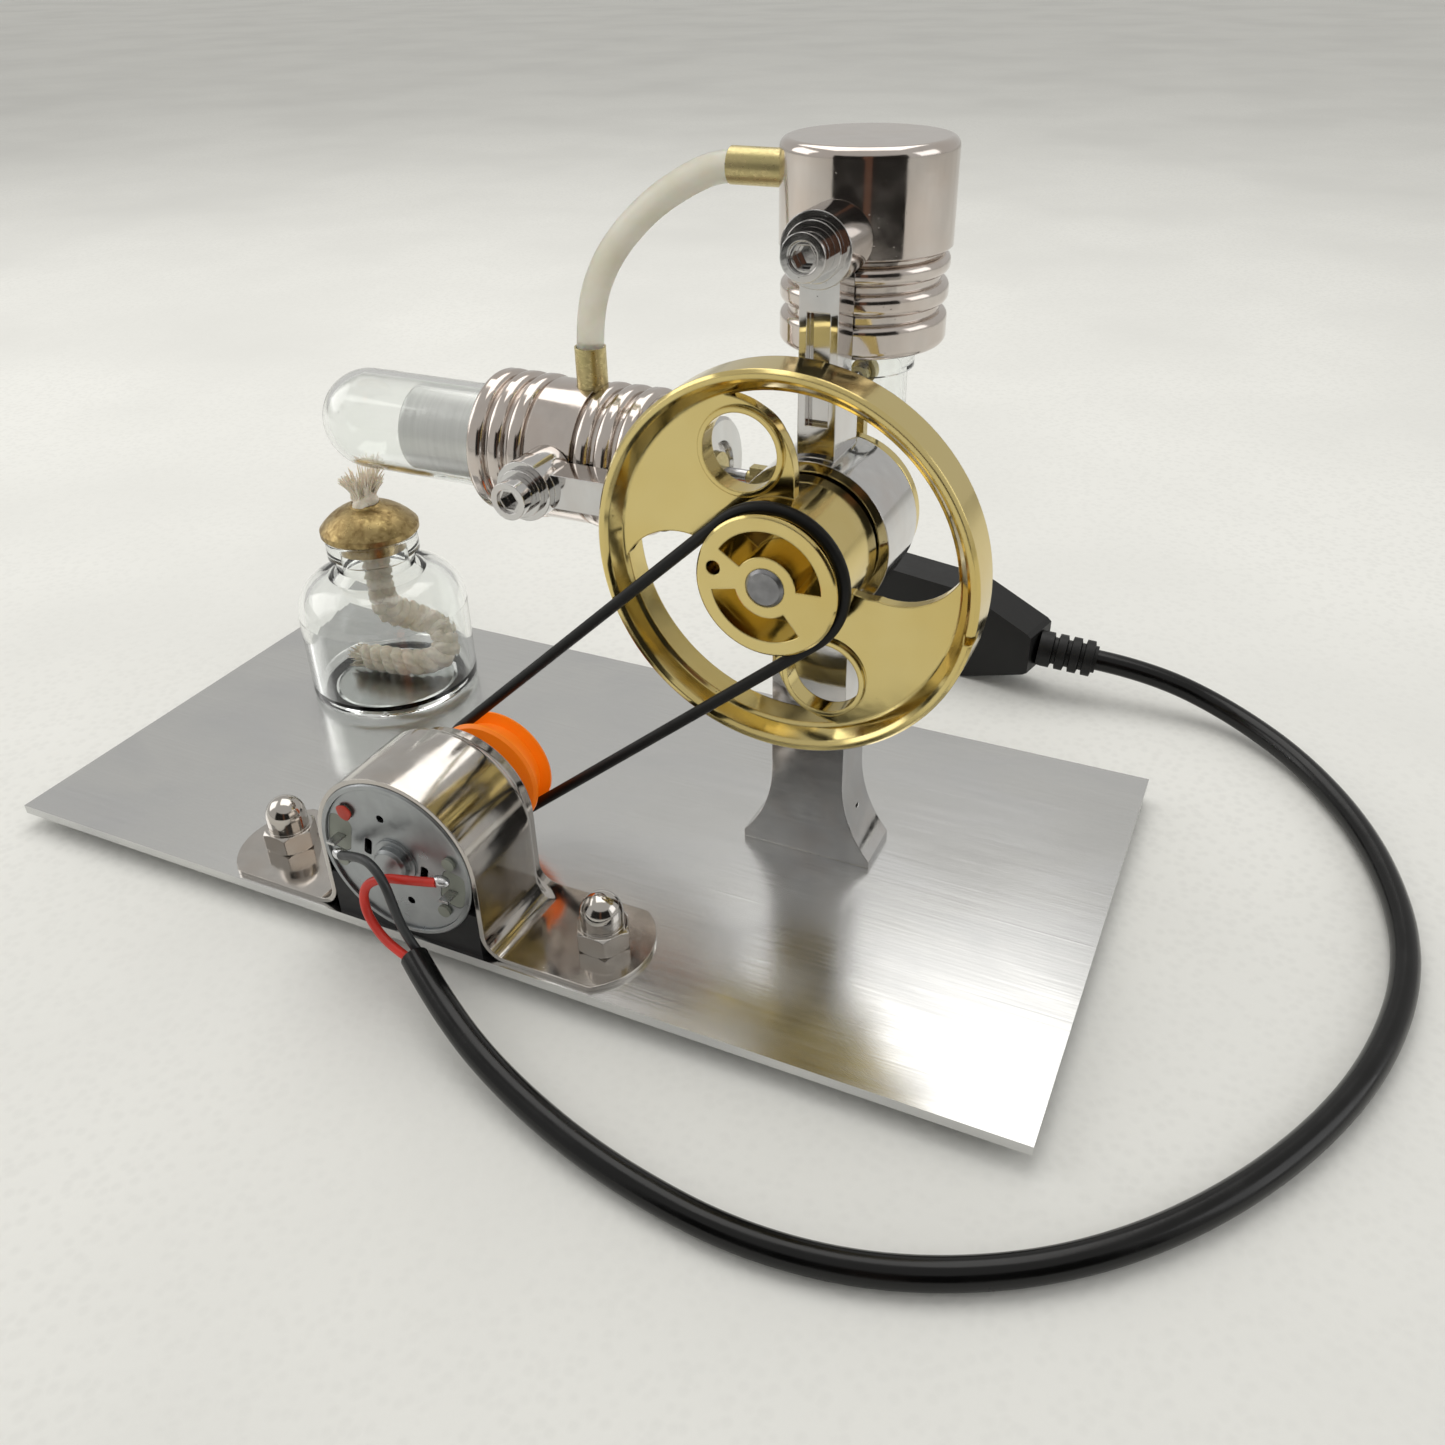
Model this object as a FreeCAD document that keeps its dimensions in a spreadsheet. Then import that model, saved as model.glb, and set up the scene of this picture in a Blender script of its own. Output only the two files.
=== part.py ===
import FreeCAD, Part
import math
import os

import Sketcher
from FreeCAD import Placement, Rotation, Vector

# A bench-top hot-air (Stirling) engine that drives a small generator. It stands on an aluminium plate: a spirit
# burner heats the glass end of the horizontal cylinder, a hose carries the air to the upright power cylinder, and
# both pistons turn one crank. A round belt goes from the flywheel's hub to the generator.
# Frame: millimetres, X right along the plate's front edge, Y away from the front, Z up. The origin is on the table
# under the middle of the plate. Rest pose: crank pin straight up, power piston at the top of its stroke.

doc = FreeCAD.newDocument("hot_air_engine")
NODES = {}


# ---------------------------------------------------------------- driving dimensions
DRIVING = {
    # base plate and feet
    "plate_length": 165.0, "plate_width": 80.0, "plate_thickness": 1.5,
    "foot_height": 2.5, "foot_radius": 4.0, "foot_inset": 8.0,
    # stand: pillar, bearing hub and two arms
    "stand_x": 38.2, "shaft_height": 51.6,
    "pillar_base": 20.2, "pillar_depth": 8.5, "waist_width": 11.0, "waist_height": 14.0,
    "hub_radius": 10.8, "hub_front": -1.0, "hub_length": 11.2,
    "arm_width": 5.0, "arm_depth": 8.0, "arm_pocket": 1.2,
    "boss_radius": 4.4, "upper_boss_rise": 36.0, "left_boss_reach": 43.6,
    # bearings, shaft and crank
    "bearing_radius": 8.0, "bearing_width": 5.0, "bearing_recess": 0.6, "ball_radius": 1.5,
    "shaft_radius": 2.5, "crank_radius": 4.0, "crank_disc_radius": 10.4, "crank_disc_thickness": 2.4,
    "crank_pin_radius": 1.25, "conrod_thickness": 1.6, "conrod_width": 2.1, "conrod_eye": 2.5, "small_eye": 1.25,
    "small_pin_radius": 0.6, "lug_eye": 1.8,
    # flywheel with its belt drum
    "wheel_radius": 25.3, "rim_wall": 3.1, "rim_depth": 6.3, "rim_front": -11.9, "web_thickness": 1.6,
    "drum_radius": 9.3, "drum_front": -15.6, "web_hole_radius": 4.9,
    "belt_radius": 0.8, "belt_path_radius": 9.5, "drum_belt_y": -13.7, "pulley_belt_y": -15.0,
    # power cylinder
    "cylinder_radius": 10.9, "fin_depth": 1.0, "power_standoff": 21.6, "power_height": 24.3,
    "liner_radius": 6.2, "liner_wall": 0.8, "liner_drop": 8.2,
    "power_rod_length": 13.0, "piston_length": 9.2,
    # displacer cylinder
    "body_left": -19.9, "body_length": 29.5, "hot_tube_radius": 8.0, "hot_tube_wall": 0.8, "hot_tube_left": -53.4,
    "hot_tube_right": -6.0, "end_cover_radius": 8.0, "end_cover_length": 7.8, "guide_radius": 3.0,
    "displacer_radius": 6.8, "displacer_left": -35.4, "displacer_length": 30.0, "displacer_rod_radius": 1.0,
    "displacer_pivot_x": 24.4,
    # hose and its two nipples
    "nipple_radius": 2.3, "hose_radius": 2.0, "upper_nipple_rise": 41.6, "lower_nipple_x": -3.1, "nipple_length": 7.8,
    # generator
    "motor_x": -6.1, "motor_height": 12.7, "motor_radius": 12.3, "motor_front": -39.5, "motor_length": 12.4,
    "motor_shaft_radius": 1.0, "motor_pulley_radius": 8.6, "motor_belt_radius": 8.0,
    "bracket_sheet": 0.7, "bracket_x": -7.2, "bracket_length": 69.4, "bracket_width": 16.8, "bracket_step": 1.7,
    "bracket_bend": 3.0, "bracket_end": 4.4, "nut_spacing": 55.2, "nut_y": -30.3, "bolt_radius": 2.0, "nut_flats": 7.0,
    # burner
    "burner_x": -51.5, "burner_y": 17.5, "bottle_radius": 15.0, "bottle_wall": 1.2, "bottle_height": 30.0,
    "neck_radius": 6.9, "lip_radius": 8.0, "cap_radius": 8.5, "wick_radius": 2.2, "wick_top": 45.8,
    # leads, cable and output socket
    "lead_radius": 0.65, "cable_radius": 1.9, "relief_length": 10.5, "socket_length": 37.0, "socket_height": 18.0,
    "socket_depth": 8.4,
    # screws
    "screw_radius": 1.5, "screw_head_radius": 2.75, "washer_radius": 3.5,
    # fits
    "running_gap": 0.05, "seat_gap": 0.03, "lap_gap": 0.3,
}

sheet = doc.addObject("Spreadsheet::Sheet", "Sizes")
for row, (alias, number) in enumerate(DRIVING.items(), 1):
    sheet.set(f"A{row}", alias)
    sheet.set(f"B{row}", str(number))
    sheet.setAlias(f"B{row}", alias)
doc.recompute()


class Size(float):
    """A number that also carries the spreadsheet expression it stands for."""

    def __new__(cls, value, text=None):
        size = super().__new__(cls, value)
        size.text = text or (f"{float(value):.9g}" if value >= 0 else f"({float(value):.9g})")
        return size

    def __add__(self, other):
        return Size(float(self) + float(other), f"({self.text} + {expression(other)})")

    def __radd__(self, other):
        return Size(float(self) + float(other), f"({expression(other)} + {self.text})")

    def __sub__(self, other):
        return Size(float(self) - float(other), f"({self.text} - {expression(other)})")

    def __rsub__(self, other):
        return Size(float(other) - float(self), f"({expression(other)} - {self.text})")

    def __mul__(self, other):
        return Size(float(self) * float(other), f"({self.text} * {expression(other)})")

    __rmul__ = __mul__

    def __truediv__(self, other):
        return Size(float(self) / float(other), f"({self.text} / {expression(other)})")

    def __neg__(self):
        return 0 - self


def expression(number):
    return number.text if isinstance(number, Size) else Size(number).text


def root(number):
    return Size(math.sqrt(number), f"sqrt({number.text})")


class Sizes:
    """The driving dimensions as attributes, such as S.plate_length."""

    def __getattr__(self, alias):
        return Size(DRIVING[alias], f"Sizes.{alias}")


S = Sizes()

# places that several pieces share
deck = S.foot_height + S.plate_thickness
axle_z = deck + S.shaft_height
hub_back = S.hub_front + S.hub_length
disc_front = hub_back + 0.6
disc_back = disc_front + S.crank_disc_thickness
displacer_layer = disc_back + 0.4
power_layer = displacer_layer + S.conrod_thickness + S.lap_gap
pin_end = power_layer + S.conrod_thickness + 0.1
cylinder_y = power_layer + S.conrod_thickness / 2
power_base = axle_z + S.power_standoff
power_top = power_base + S.power_height
gudgeon_z = axle_z + S.crank_radius + S.power_rod_length
piston_bottom = gudgeon_z + 10.2
liner_inner = S.liner_radius - S.liner_wall
upper_boss_z = axle_z + S.upper_boss_rise
left_boss_x = S.stand_x - S.left_boss_reach
body_right = S.body_left + S.body_length
cover_right = body_right + S.end_cover_length
tube_inner = S.hot_tube_radius - S.hot_tube_wall
motor_z = deck + S.motor_height
motor_back = S.motor_front + S.motor_length
groove_width = 2 * S.belt_radius + 0.8
foot_top = deck + S.bracket_sheet

# local Z axis of a piece turned to the named direction
UP = Rotation()
BACK = Rotation(Vector(1, 0, 0), -90)
FRONT = Rotation(Vector(1, 0, 0), 90)
RIGHT = Rotation(Vector(0, 1, 0), 90)
LEFT = Rotation(Vector(0, 1, 0), -90)
DOWN = Rotation(Vector(1, 0, 0), 180)


# ---------------------------------------------------------------- building blocks
def bind(item, **numbers):
    """Sets properties of an object and ties them to the spreadsheet."""
    for name, number in numbers.items():
        setattr(item, name, float(number))
        if isinstance(number, Size):
            item.setExpression(name, number.text)
    return item


def place(item, at, rotation=UP):
    item.Placement = Placement(Vector(*[float(v) for v in at]), rotation)
    for letter, number in zip("xyz", at):
        if isinstance(number, Size):
            item.setExpression(f"Placement.Base.{letter}", number.text)
    return item


def cylinder(name, radius, length, at, rotation=UP):
    return place(bind(doc.addObject("Part::Cylinder", name), Radius=radius, Height=length), at, rotation)


def block(name, size, at, rotation=UP):
    item = doc.addObject("Part::Box", name)
    return place(bind(item, Length=size[0], Width=size[1], Height=size[2]), at, rotation)


def ball(name, radius, at):
    return place(bind(doc.addObject("Part::Sphere", name), Radius=radius), at)


def hexagon(name, flats, length, at, rotation=UP):
    item = doc.addObject("Part::Prism", name)
    item.Polygon = 6
    return place(bind(item, Circumradius=flats / math.sqrt(3), Height=length), at, rotation)


def fused(name, *items):
    item = doc.addObject("Part::MultiFuse", name)
    item.Shapes = list(items)
    item.Refine = True
    return item


def cut(name, base, *tools):
    item = doc.addObject("Part::Cut", name)
    item.Base = base
    item.Tool = tools[0] if len(tools) == 1 else fused(f"{name}_tools", *tools)
    item.Refine = True
    return item


def common(name, base, tool):
    item = doc.addObject("Part::Common", name)
    item.Base = base
    item.Tool = tool
    return item


def group(name, *items):
    """Identical loose pieces that share one node, as a compound of separate solids."""
    item = doc.addObject("Part::Compound", name)
    item.Links = list(items)
    return item


def keep(name, item):
    """Marks a finished sub-part, which is written to its own file."""
    item.Label = name
    NODES[name] = item
    return item


def tie(sketch, kind, *where):
    """Adds a dimension to a sketch and ties it to the spreadsheet."""
    *geometry, number = where
    index = sketch.addConstraint(Sketcher.Constraint(kind, *geometry, float(number)))
    if isinstance(number, Size):
        sketch.setExpression(f"Constraints[{index}]", number.text)


def pin_down(sketch, piece, end, point):
    """Fixes one end of a sketch line at a point; an exact zero lies on the sketch's axis."""
    for kind, axis, number in (("DistanceX", -2, point[0]), ("DistanceY", -1, point[1])):
        if not isinstance(number, Size) and number == 0:
            sketch.addConstraint(Sketcher.Constraint("PointOnObject", piece, end, axis))
        else:
            tie(sketch, kind, -1, 1, piece, end, number)


def arc_between(start, end, radius):
    """An arc from start to end: it turns left for a positive radius and right for a negative one."""
    a, b = (Vector(float(p[0]), float(p[1]), 0) for p in (start, end))
    chord, size = b - a, abs(float(radius))
    half = chord.Length / 2
    side = Vector(-chord.y, chord.x, 0).normalize() * (1 if radius > 0 else -1)
    centre = (a + b) * 0.5 + side * math.sqrt(max(size**2 - half**2, 0))
    first, last = (a, b) if radius > 0 else (b, a)
    angles = [math.atan2(p.y - centre.y, p.x - centre.x) for p in (first, last)]
    return Part.ArcOfCircle(Part.Circle(centre, Vector(0, 0, 1), size), *angles)


def draw(sketch, outline):
    """Draws a closed outline: each point is (x, y), or (x, y, radius) where an arc leads to it."""
    ends = []
    for index, point in enumerate(outline):
        before = outline[index - 1]
        if len(point) == 3:
            piece = sketch.addGeometry(arc_between(before, point, point[2]), False)
            tie(sketch, "Radius", piece, abs(point[2]) if not isinstance(point[2], Size) else magnitude(point[2]))
            ends.append((piece, 1, 2) if point[2] > 0 else (piece, 2, 1))
        else:
            line = Part.LineSegment(*(Vector(float(p[0]), float(p[1]), 0) for p in (before, point)))
            ends.append((sketch.addGeometry(line, False), 1, 2))
    for index, (piece, start, end) in enumerate(ends):
        sketch.addConstraint(Sketcher.Constraint("Coincident", ends[index - 1][0], ends[index - 1][2], piece, start))
        pin_down(sketch, piece, end, outline[index])


def magnitude(number):
    return number if number > 0 else -number


def sketch_in(body, role, outline, circles=()):
    sketch = body.newObject("Sketcher::SketchObject", f"{body.Name}_sketch")
    sketch.AttachmentSupport = [(next(f for f in body.Origin.OriginFeatures if f.Role == role), "")]
    sketch.MapMode = "FlatFace"
    if outline:
        draw(sketch, outline)
    for x, y, radius in circles:
        piece = sketch.addGeometry(Part.Circle(Vector(float(x), float(y), 0), Vector(0, 0, 1), float(radius)), False)
        pin_down(sketch, piece, 3, (x, y))
        tie(sketch, "Radius", piece, radius)
    return sketch


def turned(name, profile, at=(0, 0, 0), rotation=UP):
    """A lathe-turned piece: profile points are (radius, height) along the piece's own axis."""
    body = doc.addObject("PartDesign::Body", name)
    feature = body.newObject("PartDesign::Revolution", f"{name}_turning")
    sketch = sketch_in(body, "XZ_Plane", profile)
    feature.Profile = sketch
    feature.ReferenceAxis = (sketch, ["V_Axis"])
    feature.Angle = 360
    body.Tip = feature
    return place(body, at, rotation)


def tube(name, outer, inner, length, at, rotation=UP):
    return turned(name, [(inner, 0), (outer, 0), (outer, length), (inner, length)], at, rotation)


def plate(name, outline, thickness, at, rotation=UP, circles=()):
    """A flat piece: its outline lies in the piece's own XY plane."""
    body = doc.addObject("PartDesign::Body", name)
    sketch = sketch_in(body, "XY_Plane", outline, circles)
    feature = body.newObject("PartDesign::Pad", f"{name}_pad")
    feature.Profile = sketch
    bind(feature, Length=thickness)
    body.Tip = feature
    return place(body, at, rotation)


def bead(foot, tip, low, high):
    """The outer side of one cooling fin, with both corners rounded to its depth."""
    depth = tip - foot
    return [(foot, low), (tip, low + depth, depth), (tip, high - depth), (foot, high, depth)]


def routed_tube(name, points, radius):
    """A tube along straight runs that are joined by tangent arcs; prints its bend radii and volume."""
    points = [Vector(*[float(v) for v in p]) for p in points]
    edges, radii, here = [], [], points[0]
    for before, corner, after in zip(points, points[1:], points[2:]):
        back, ahead = before - corner, after - corner
        half_turn = (math.pi - back.getAngle(ahead)) / 2
        if half_turn < 0.001:
            continue
        reach = 0.45 * min(back.Length, ahead.Length)
        bend = reach / math.tan(half_turn)
        start, end = corner + back.normalize() * reach, corner + ahead.normalize() * reach
        inward = ((start + end) * 0.5 - corner).normalize()
        middle = corner + inward * (bend / math.cos(half_turn) - bend)
        edges += [Part.LineSegment(here, start).toShape(), Part.Arc(start, middle, end).toShape()]
        radii.append(bend)
        here = end
    edges.append(Part.LineSegment(here, points[-1]).toShape())
    path = Part.Wire(edges)
    ring = Part.Wire(Part.Circle(points[0], points[1] - points[0], float(radius)).toShape())
    item = doc.addObject("Part::Feature", name)
    item.Shape = path.makePipeShell([ring], True, False)
    full = math.pi * float(radius) ** 2 * path.Length
    print(f"{name}: {path.Length:.1f} mm, volume {item.Shape.Volume / full:.4f} of its section times its length, "
          f"bends {', '.join(f'{r:.0f}' for r in radii)}")
    return item


def socket_screw(name, length, at, rotation):
    """A socket-head screw: the head's front face is at the given point, the shank goes along the axis."""
    head = cylinder(f"{name}_head", S.screw_head_radius, 3.0, at, rotation)
    shank = cylinder(f"{name}_shank", S.screw_radius, length + 3.0, at, rotation)
    key = hexagon(f"{name}_key", 2.5, 1.8, at, rotation)
    mouth = cylinder(f"{name}_mouth", 1.8, 0.4, at, rotation)
    return cut(name, fused(f"{name}_blank", head, shank), key, mouth)


# ---------------------------------------------------------------- base
def build_base():
    """The plate with its screw holes, and the four rubber feet under it."""
    half_nut = S.nut_spacing / 2
    screw_holes = [
        (S.bracket_x - half_nut, S.nut_y, S.bolt_radius + S.running_gap),
        (S.bracket_x + half_nut, S.nut_y, S.bolt_radius + S.running_gap),
        (S.stand_x - 5, pillar_y(), S.screw_radius + S.running_gap),
        (S.stand_x + 5, pillar_y(), S.screw_radius + S.running_gap),
    ]
    half_x, half_y = S.plate_length / 2, S.plate_width / 2
    outline = [(half_x, -half_y), (half_x, half_y), (-half_x, half_y), (-half_x, -half_y)]
    keep("base_plate", plate("base_plate", outline, S.plate_thickness, (0, 0, S.foot_height), circles=screw_holes))
    feet = []
    for index, (side, end) in enumerate([(-1, -1), (1, -1), (-1, 1), (1, 1)]):
        at = ((half_x - S.foot_inset) * side, (half_y - S.foot_inset) * end, 0)
        feet.append(cylinder(f"rubber_foot_{index}", S.foot_radius, S.foot_height, at))
    keep("rubber_feet", group("rubber_feet", *feet))


def pillar_y():
    return S.hub_front + 0.9 + S.pillar_depth / 2


# ---------------------------------------------------------------- stand
def build_stand():
    """One casting: flared pillar, bearing hub and the two arms whose bosses carry the cylinders."""
    half_base, half_waist = S.pillar_base / 2, S.waist_width / 2
    drop, step = S.waist_height - 1.2, half_base - half_waist
    flare = (drop * drop + step * step) / (2 * step)
    pillar = plate(
        "pillar",
        [(half_base, 0), (half_base, 1.2), (half_waist, S.waist_height, -flare), (half_waist, S.shaft_height),
         (-half_waist, S.shaft_height), (-half_waist, S.waist_height), (-half_base, 1.2, -flare), (-half_base, 0)],
        S.pillar_depth,
        (S.stand_x, pillar_y() + S.pillar_depth / 2, deck),
        FRONT,
    )
    hub = cylinder("hub", S.hub_radius, S.hub_length, (S.stand_x, S.hub_front, axle_z), BACK)
    arm_front = S.hub_front + 1.5
    half_arm = S.arm_width / 2
    upper_arm = block("upper_arm", (S.arm_width, S.arm_depth, S.upper_boss_rise),
                      (S.stand_x - half_arm, arm_front, axle_z))
    left_arm = block("left_arm", (S.left_boss_reach, S.arm_depth, S.arm_width),
                     (left_boss_x, arm_front, axle_z - half_arm))
    boss_length = arm_front + S.arm_depth - S.hub_front
    bosses = [
        cylinder(f"{name}_boss", S.boss_radius, boss_length, (x, S.hub_front, z), BACK)
        for name, x, z in (("upper", S.stand_x, upper_boss_z), ("left", left_boss_x, axle_z))
    ]
    blank = fused("stand_blank", pillar, hub, upper_arm, left_arm, *bosses)
    pocket_start = axle_z + S.hub_radius + 4
    pocket = block("arm_pocket", (S.arm_width - 2, S.arm_pocket, upper_boss_z - S.boss_radius - 3 - pocket_start),
                   (S.stand_x - half_arm + 1, arm_front, pocket_start))
    seats = S.bearing_radius + S.seat_gap
    bore = cylinder("hub_bore", seats, S.hub_length, (S.stand_x, S.hub_front, axle_z), BACK)
    power_seat = cylinder("power_seat", S.cylinder_radius + S.seat_gap, S.power_height + 4,
                          (S.stand_x, cylinder_y, power_base - 2))
    hot_seat = cylinder("hot_seat", S.cylinder_radius + S.seat_gap, S.body_length + 4,
                        (S.body_left - 2, cylinder_y, axle_z), RIGHT)
    holes = [
        cylinder(f"{name}_screw_hole", S.screw_radius + S.running_gap, boss_length + 2, (x, S.hub_front - 1, z), BACK)
        for name, x, z in (("upper", S.stand_x, upper_boss_z), ("left", left_boss_x, axle_z))
    ]
    holes += [
        cylinder(f"pillar_hole_{index}", S.screw_radius + S.running_gap, 8, (S.stand_x + side, pillar_y(), deck))
        for index, side in enumerate((-5, 5))
    ]
    cover_room = cylinder("cover_room", S.end_cover_radius + 0.4, S.end_cover_length + 1, (body_right, cylinder_y, axle_z),
                          RIGHT)
    keep("stand_casting", cut("stand_casting", blank, pocket, bore, power_seat, hot_seat, cover_room, *holes))
    screws = []
    for index, side in enumerate((-5, 5)):
        at = (S.stand_x + side, pillar_y(), 0.5)
        head = cylinder(f"stand_screw_head_{index}", S.screw_head_radius, S.foot_height - 0.52, at)
        shank = cylinder(f"stand_screw_shank_{index}", S.screw_radius, S.foot_height + S.plate_thickness + 6, at)
        screws.append(fused(f"stand_screw_{index}", head, shank))
    keep("stand_screws", group("stand_screws", *screws))
    screws, washers = [], []
    head_front = S.hub_front - 4.0
    for name, x, z in (("upper", S.stand_x, upper_boss_z), ("left", left_boss_x, axle_z)):
        screws.append(socket_screw(f"{name}_screw", 9.6, (x, head_front, z), BACK))
        washers.append(tube(f"{name}_washer", S.washer_radius, S.screw_radius + S.running_gap, 0.96,
                            (x, S.hub_front - 0.98, z), BACK))
    keep("cylinder_screws", group("cylinder_screws", *screws))
    keep("screw_washers", group("screw_washers", *washers))


# ---------------------------------------------------------------- bearings and crank
def build_bearings():
    """Two ball bearings side by side in the hub, each with an outer ring, an inner ring and eight balls."""
    outer, inner, balls = [], [], []
    track = (S.bearing_radius + S.shaft_radius) / 2
    for index in range(2):
        front = S.hub_front + S.bearing_recess + index * (S.bearing_width + 0.2)
        at = (S.stand_x, front, axle_z)
        outer.append(tube(f"outer_ring_{index}", S.bearing_radius, track + 1.3, S.bearing_width, at, BACK))
        inner.append(tube(f"inner_ring_{index}", track - 1.3, S.shaft_radius + S.seat_gap, S.bearing_width, at, BACK))
        for turn in range(8):
            angle = math.radians(45 * turn)
            centre = (S.stand_x + track * math.cos(angle), front + S.bearing_width / 2,
                      axle_z + track * math.sin(angle))
            balls.append(ball(f"bearing_ball_{index}_{turn}", S.ball_radius - 0.3, centre))
    keep("bearing_outer_rings", group("bearing_outer_rings", *outer))
    keep("bearing_inner_rings", group("bearing_inner_rings", *inner))
    keep("bearing_balls", group("bearing_balls", *balls))


def build_crank():
    """The shaft with its crank disc, the pin that both rods share, and the pin's clip."""
    shaft_front = S.drum_front - 0.4
    shaft_length = disc_back - shaft_front
    keep("crankshaft", turned("crankshaft", [
        (0, 0), (S.shaft_radius - 0.4, 0), (S.shaft_radius, 0.4), (S.shaft_radius, shaft_length),
        (0, shaft_length)], (S.stand_x, shaft_front, axle_z), BACK))
    at = (S.stand_x, disc_front, axle_z)
    disc = turned("disc_blank", [
        (S.shaft_radius + S.seat_gap, 0), (S.crank_disc_radius - 0.5, 0), (S.crank_disc_radius, 0.5),
        (S.crank_disc_radius, S.crank_disc_thickness - 0.5), (S.crank_disc_radius - 0.5, S.crank_disc_thickness),
        (S.shaft_radius + S.seat_gap, S.crank_disc_thickness)], at, BACK)
    pin_z = axle_z + S.crank_radius
    seat = cylinder("pin_seat", S.crank_pin_radius + S.seat_gap, S.crank_disc_thickness + 2,
                    (S.stand_x, disc_front - 1, pin_z), BACK)
    keep("crank_disc", cut("crank_disc", disc, seat))
    keep("crank_pin", cylinder("crank_pin", S.crank_pin_radius, pin_end + 0.7 - disc_front,
                               (S.stand_x, disc_front, pin_z), BACK))
    keep("crank_pin_clip", tube("crank_pin_clip", S.crank_pin_radius + 0.9, S.crank_pin_radius + S.seat_gap, 0.5,
                                (S.stand_x, pin_end, pin_z), BACK))
    keep("shaft_washer", tube("shaft_washer", S.shaft_radius + 1.5, S.shaft_radius + S.seat_gap, 0.5,
                              (S.stand_x, disc_front - 0.55, axle_z), BACK))


def conrod(name, start, end, layer):
    """A flat rod with an eye at each end; start is the crank pin's centre in the XZ plane."""
    reach = (end[0] - start[0], end[1] - start[1])
    length = root(reach[0] * reach[0] + reach[1] * reach[1])
    turn = math.degrees(math.atan2(reach[1], reach[0]))
    rotation = Rotation(Vector(0, 1, 0), -turn).multiply(FRONT)
    at = (start[0], layer + S.conrod_thickness, start[1])
    half = S.conrod_width / 2
    bar = plate(f"{name}_bar", [(0, -half), (length, -half), (length, half), (0, half)], S.conrod_thickness, at,
                rotation)
    eyes = [cylinder(f"{name}_eye_{index}", radius, S.conrod_thickness, (centre[0], layer, centre[1]), BACK)
            for index, (centre, radius) in enumerate(((start, S.conrod_eye), (end, S.small_eye)))]
    bores = [cylinder(f"{name}_bore_{index}", radius, S.conrod_thickness + 2, (centre[0], layer - 1, centre[1]), BACK)
             for index, (centre, radius) in enumerate(((start, S.crank_pin_radius + S.running_gap),
                                                      (end, S.small_pin_radius + S.running_gap)))]
    keep(name, cut(name, fused(f"{name}_blank", bar, *eyes), *bores))


def build_conrods():
    pin = (S.stand_x, axle_z + S.crank_radius)
    conrod("displacer_conrod", pin, (S.displacer_pivot_x, axle_z), displacer_layer)
    conrod("power_conrod", pin, (S.stand_x, gudgeon_z), power_layer)


# ---------------------------------------------------------------- flywheel
def build_flywheel():
    """Rim, two opposite webs with a round hole each, and the belt drum with its recessed front."""
    at = (S.stand_x, S.rim_front, axle_z)
    inner = S.wheel_radius - S.rim_wall
    rim = turned("rim", [
        (inner, S.rim_depth), (inner, 2.6), (inner + 0.5, 2.2), (S.wheel_radius - 1.5, 0.5), (S.wheel_radius - 1.0, 0),
        (S.wheel_radius - 0.4, 0), (S.wheel_radius, 0.5), (S.wheel_radius, S.rim_depth - 0.5),
        (S.wheel_radius - 0.5, S.rim_depth)], at, BACK)
    web_back = S.rim_front + 2.4 + S.web_thickness
    hole = (-5.7, 14.3, S.web_hole_radius)
    outline = [(1.2, 4), (1.2, 12), (-8.0, 21.0, 9.2), (-22.6, -3.0, 23.5), (-12.4, 2.2, -9.0), (-8.0, 1.4, -9.0),
               (-4.0, -1.0)]
    webs = []
    for index, turn in enumerate((0, 180)):
        rotation = Rotation(Vector(0, 1, 0), turn).multiply(FRONT)
        spot = (S.stand_x, web_back, axle_z)
        web = plate(f"web_{index}", outline, S.web_thickness, spot, rotation, circles=[hole])
        collar = plate(f"web_collar_{index}", None, S.web_thickness + 1.2, (S.stand_x, web_back + 0.6, axle_z), rotation,
                       circles=[(hole[0], hole[1], S.web_hole_radius + 0.7), hole])
        webs += [web, collar]
    lip, groove = S.drum_radius, S.belt_path_radius - S.belt_radius - 0.15
    groove_front = S.drum_belt_y - groove_width / 2 - S.drum_front
    drum_length = S.hub_front - 0.6 - S.drum_front
    drum = turned("drum", [
        (0, 0), (lip - 0.3, 0), (lip, 0.3), (lip, groove_front - 0.2), (groove, groove_front),
        (groove, groove_front + groove_width), (lip, groove_front + groove_width + 0.2), (lip, drum_length),
        (0, drum_length)], (S.stand_x, S.drum_front, axle_z), BACK)
    blank = fused("wheel_blank", rim, *webs, drum)
    pockets = [kidney(f"drum_pocket_{index}", 4.0, 7.3, low, high, 6.0)
               for index, (low, high) in enumerate(((2, 146), (192, 308)))]
    bore = cylinder("wheel_bore", S.shaft_radius + S.seat_gap, drum_length + 2,
                    (S.stand_x, S.drum_front - 1, axle_z), BACK)
    spot = math.radians(168)
    sight = cylinder("drum_hole", 0.95, 5, (S.stand_x + 7.0 * math.cos(spot), S.drum_front, axle_z + 7.0 * math.sin(spot)),
                     BACK)
    thread = cylinder("set_screw_hole", 1.5 + S.seat_gap, S.drum_radius + 1, (S.stand_x, -4.2, axle_z), LEFT)
    notch = place(bind(doc.addObject("Part::Box", "rim_notch"), Length=2, Width=2.4, Height=1.2),
                  (S.stand_x + S.wheel_radius * math.cos(-0.18) - 1, S.rim_front - 0.4,
                   axle_z + S.wheel_radius * math.sin(-0.18)))
    keep("flywheel", cut("flywheel", blank, *pockets, bore, sight, thread, notch))
    keep("flywheel_set_screw", cylinder("flywheel_set_screw", 1.5, 5.0, (S.stand_x - S.shaft_radius - 0.05, -4.2, axle_z),
                                        LEFT))


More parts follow.
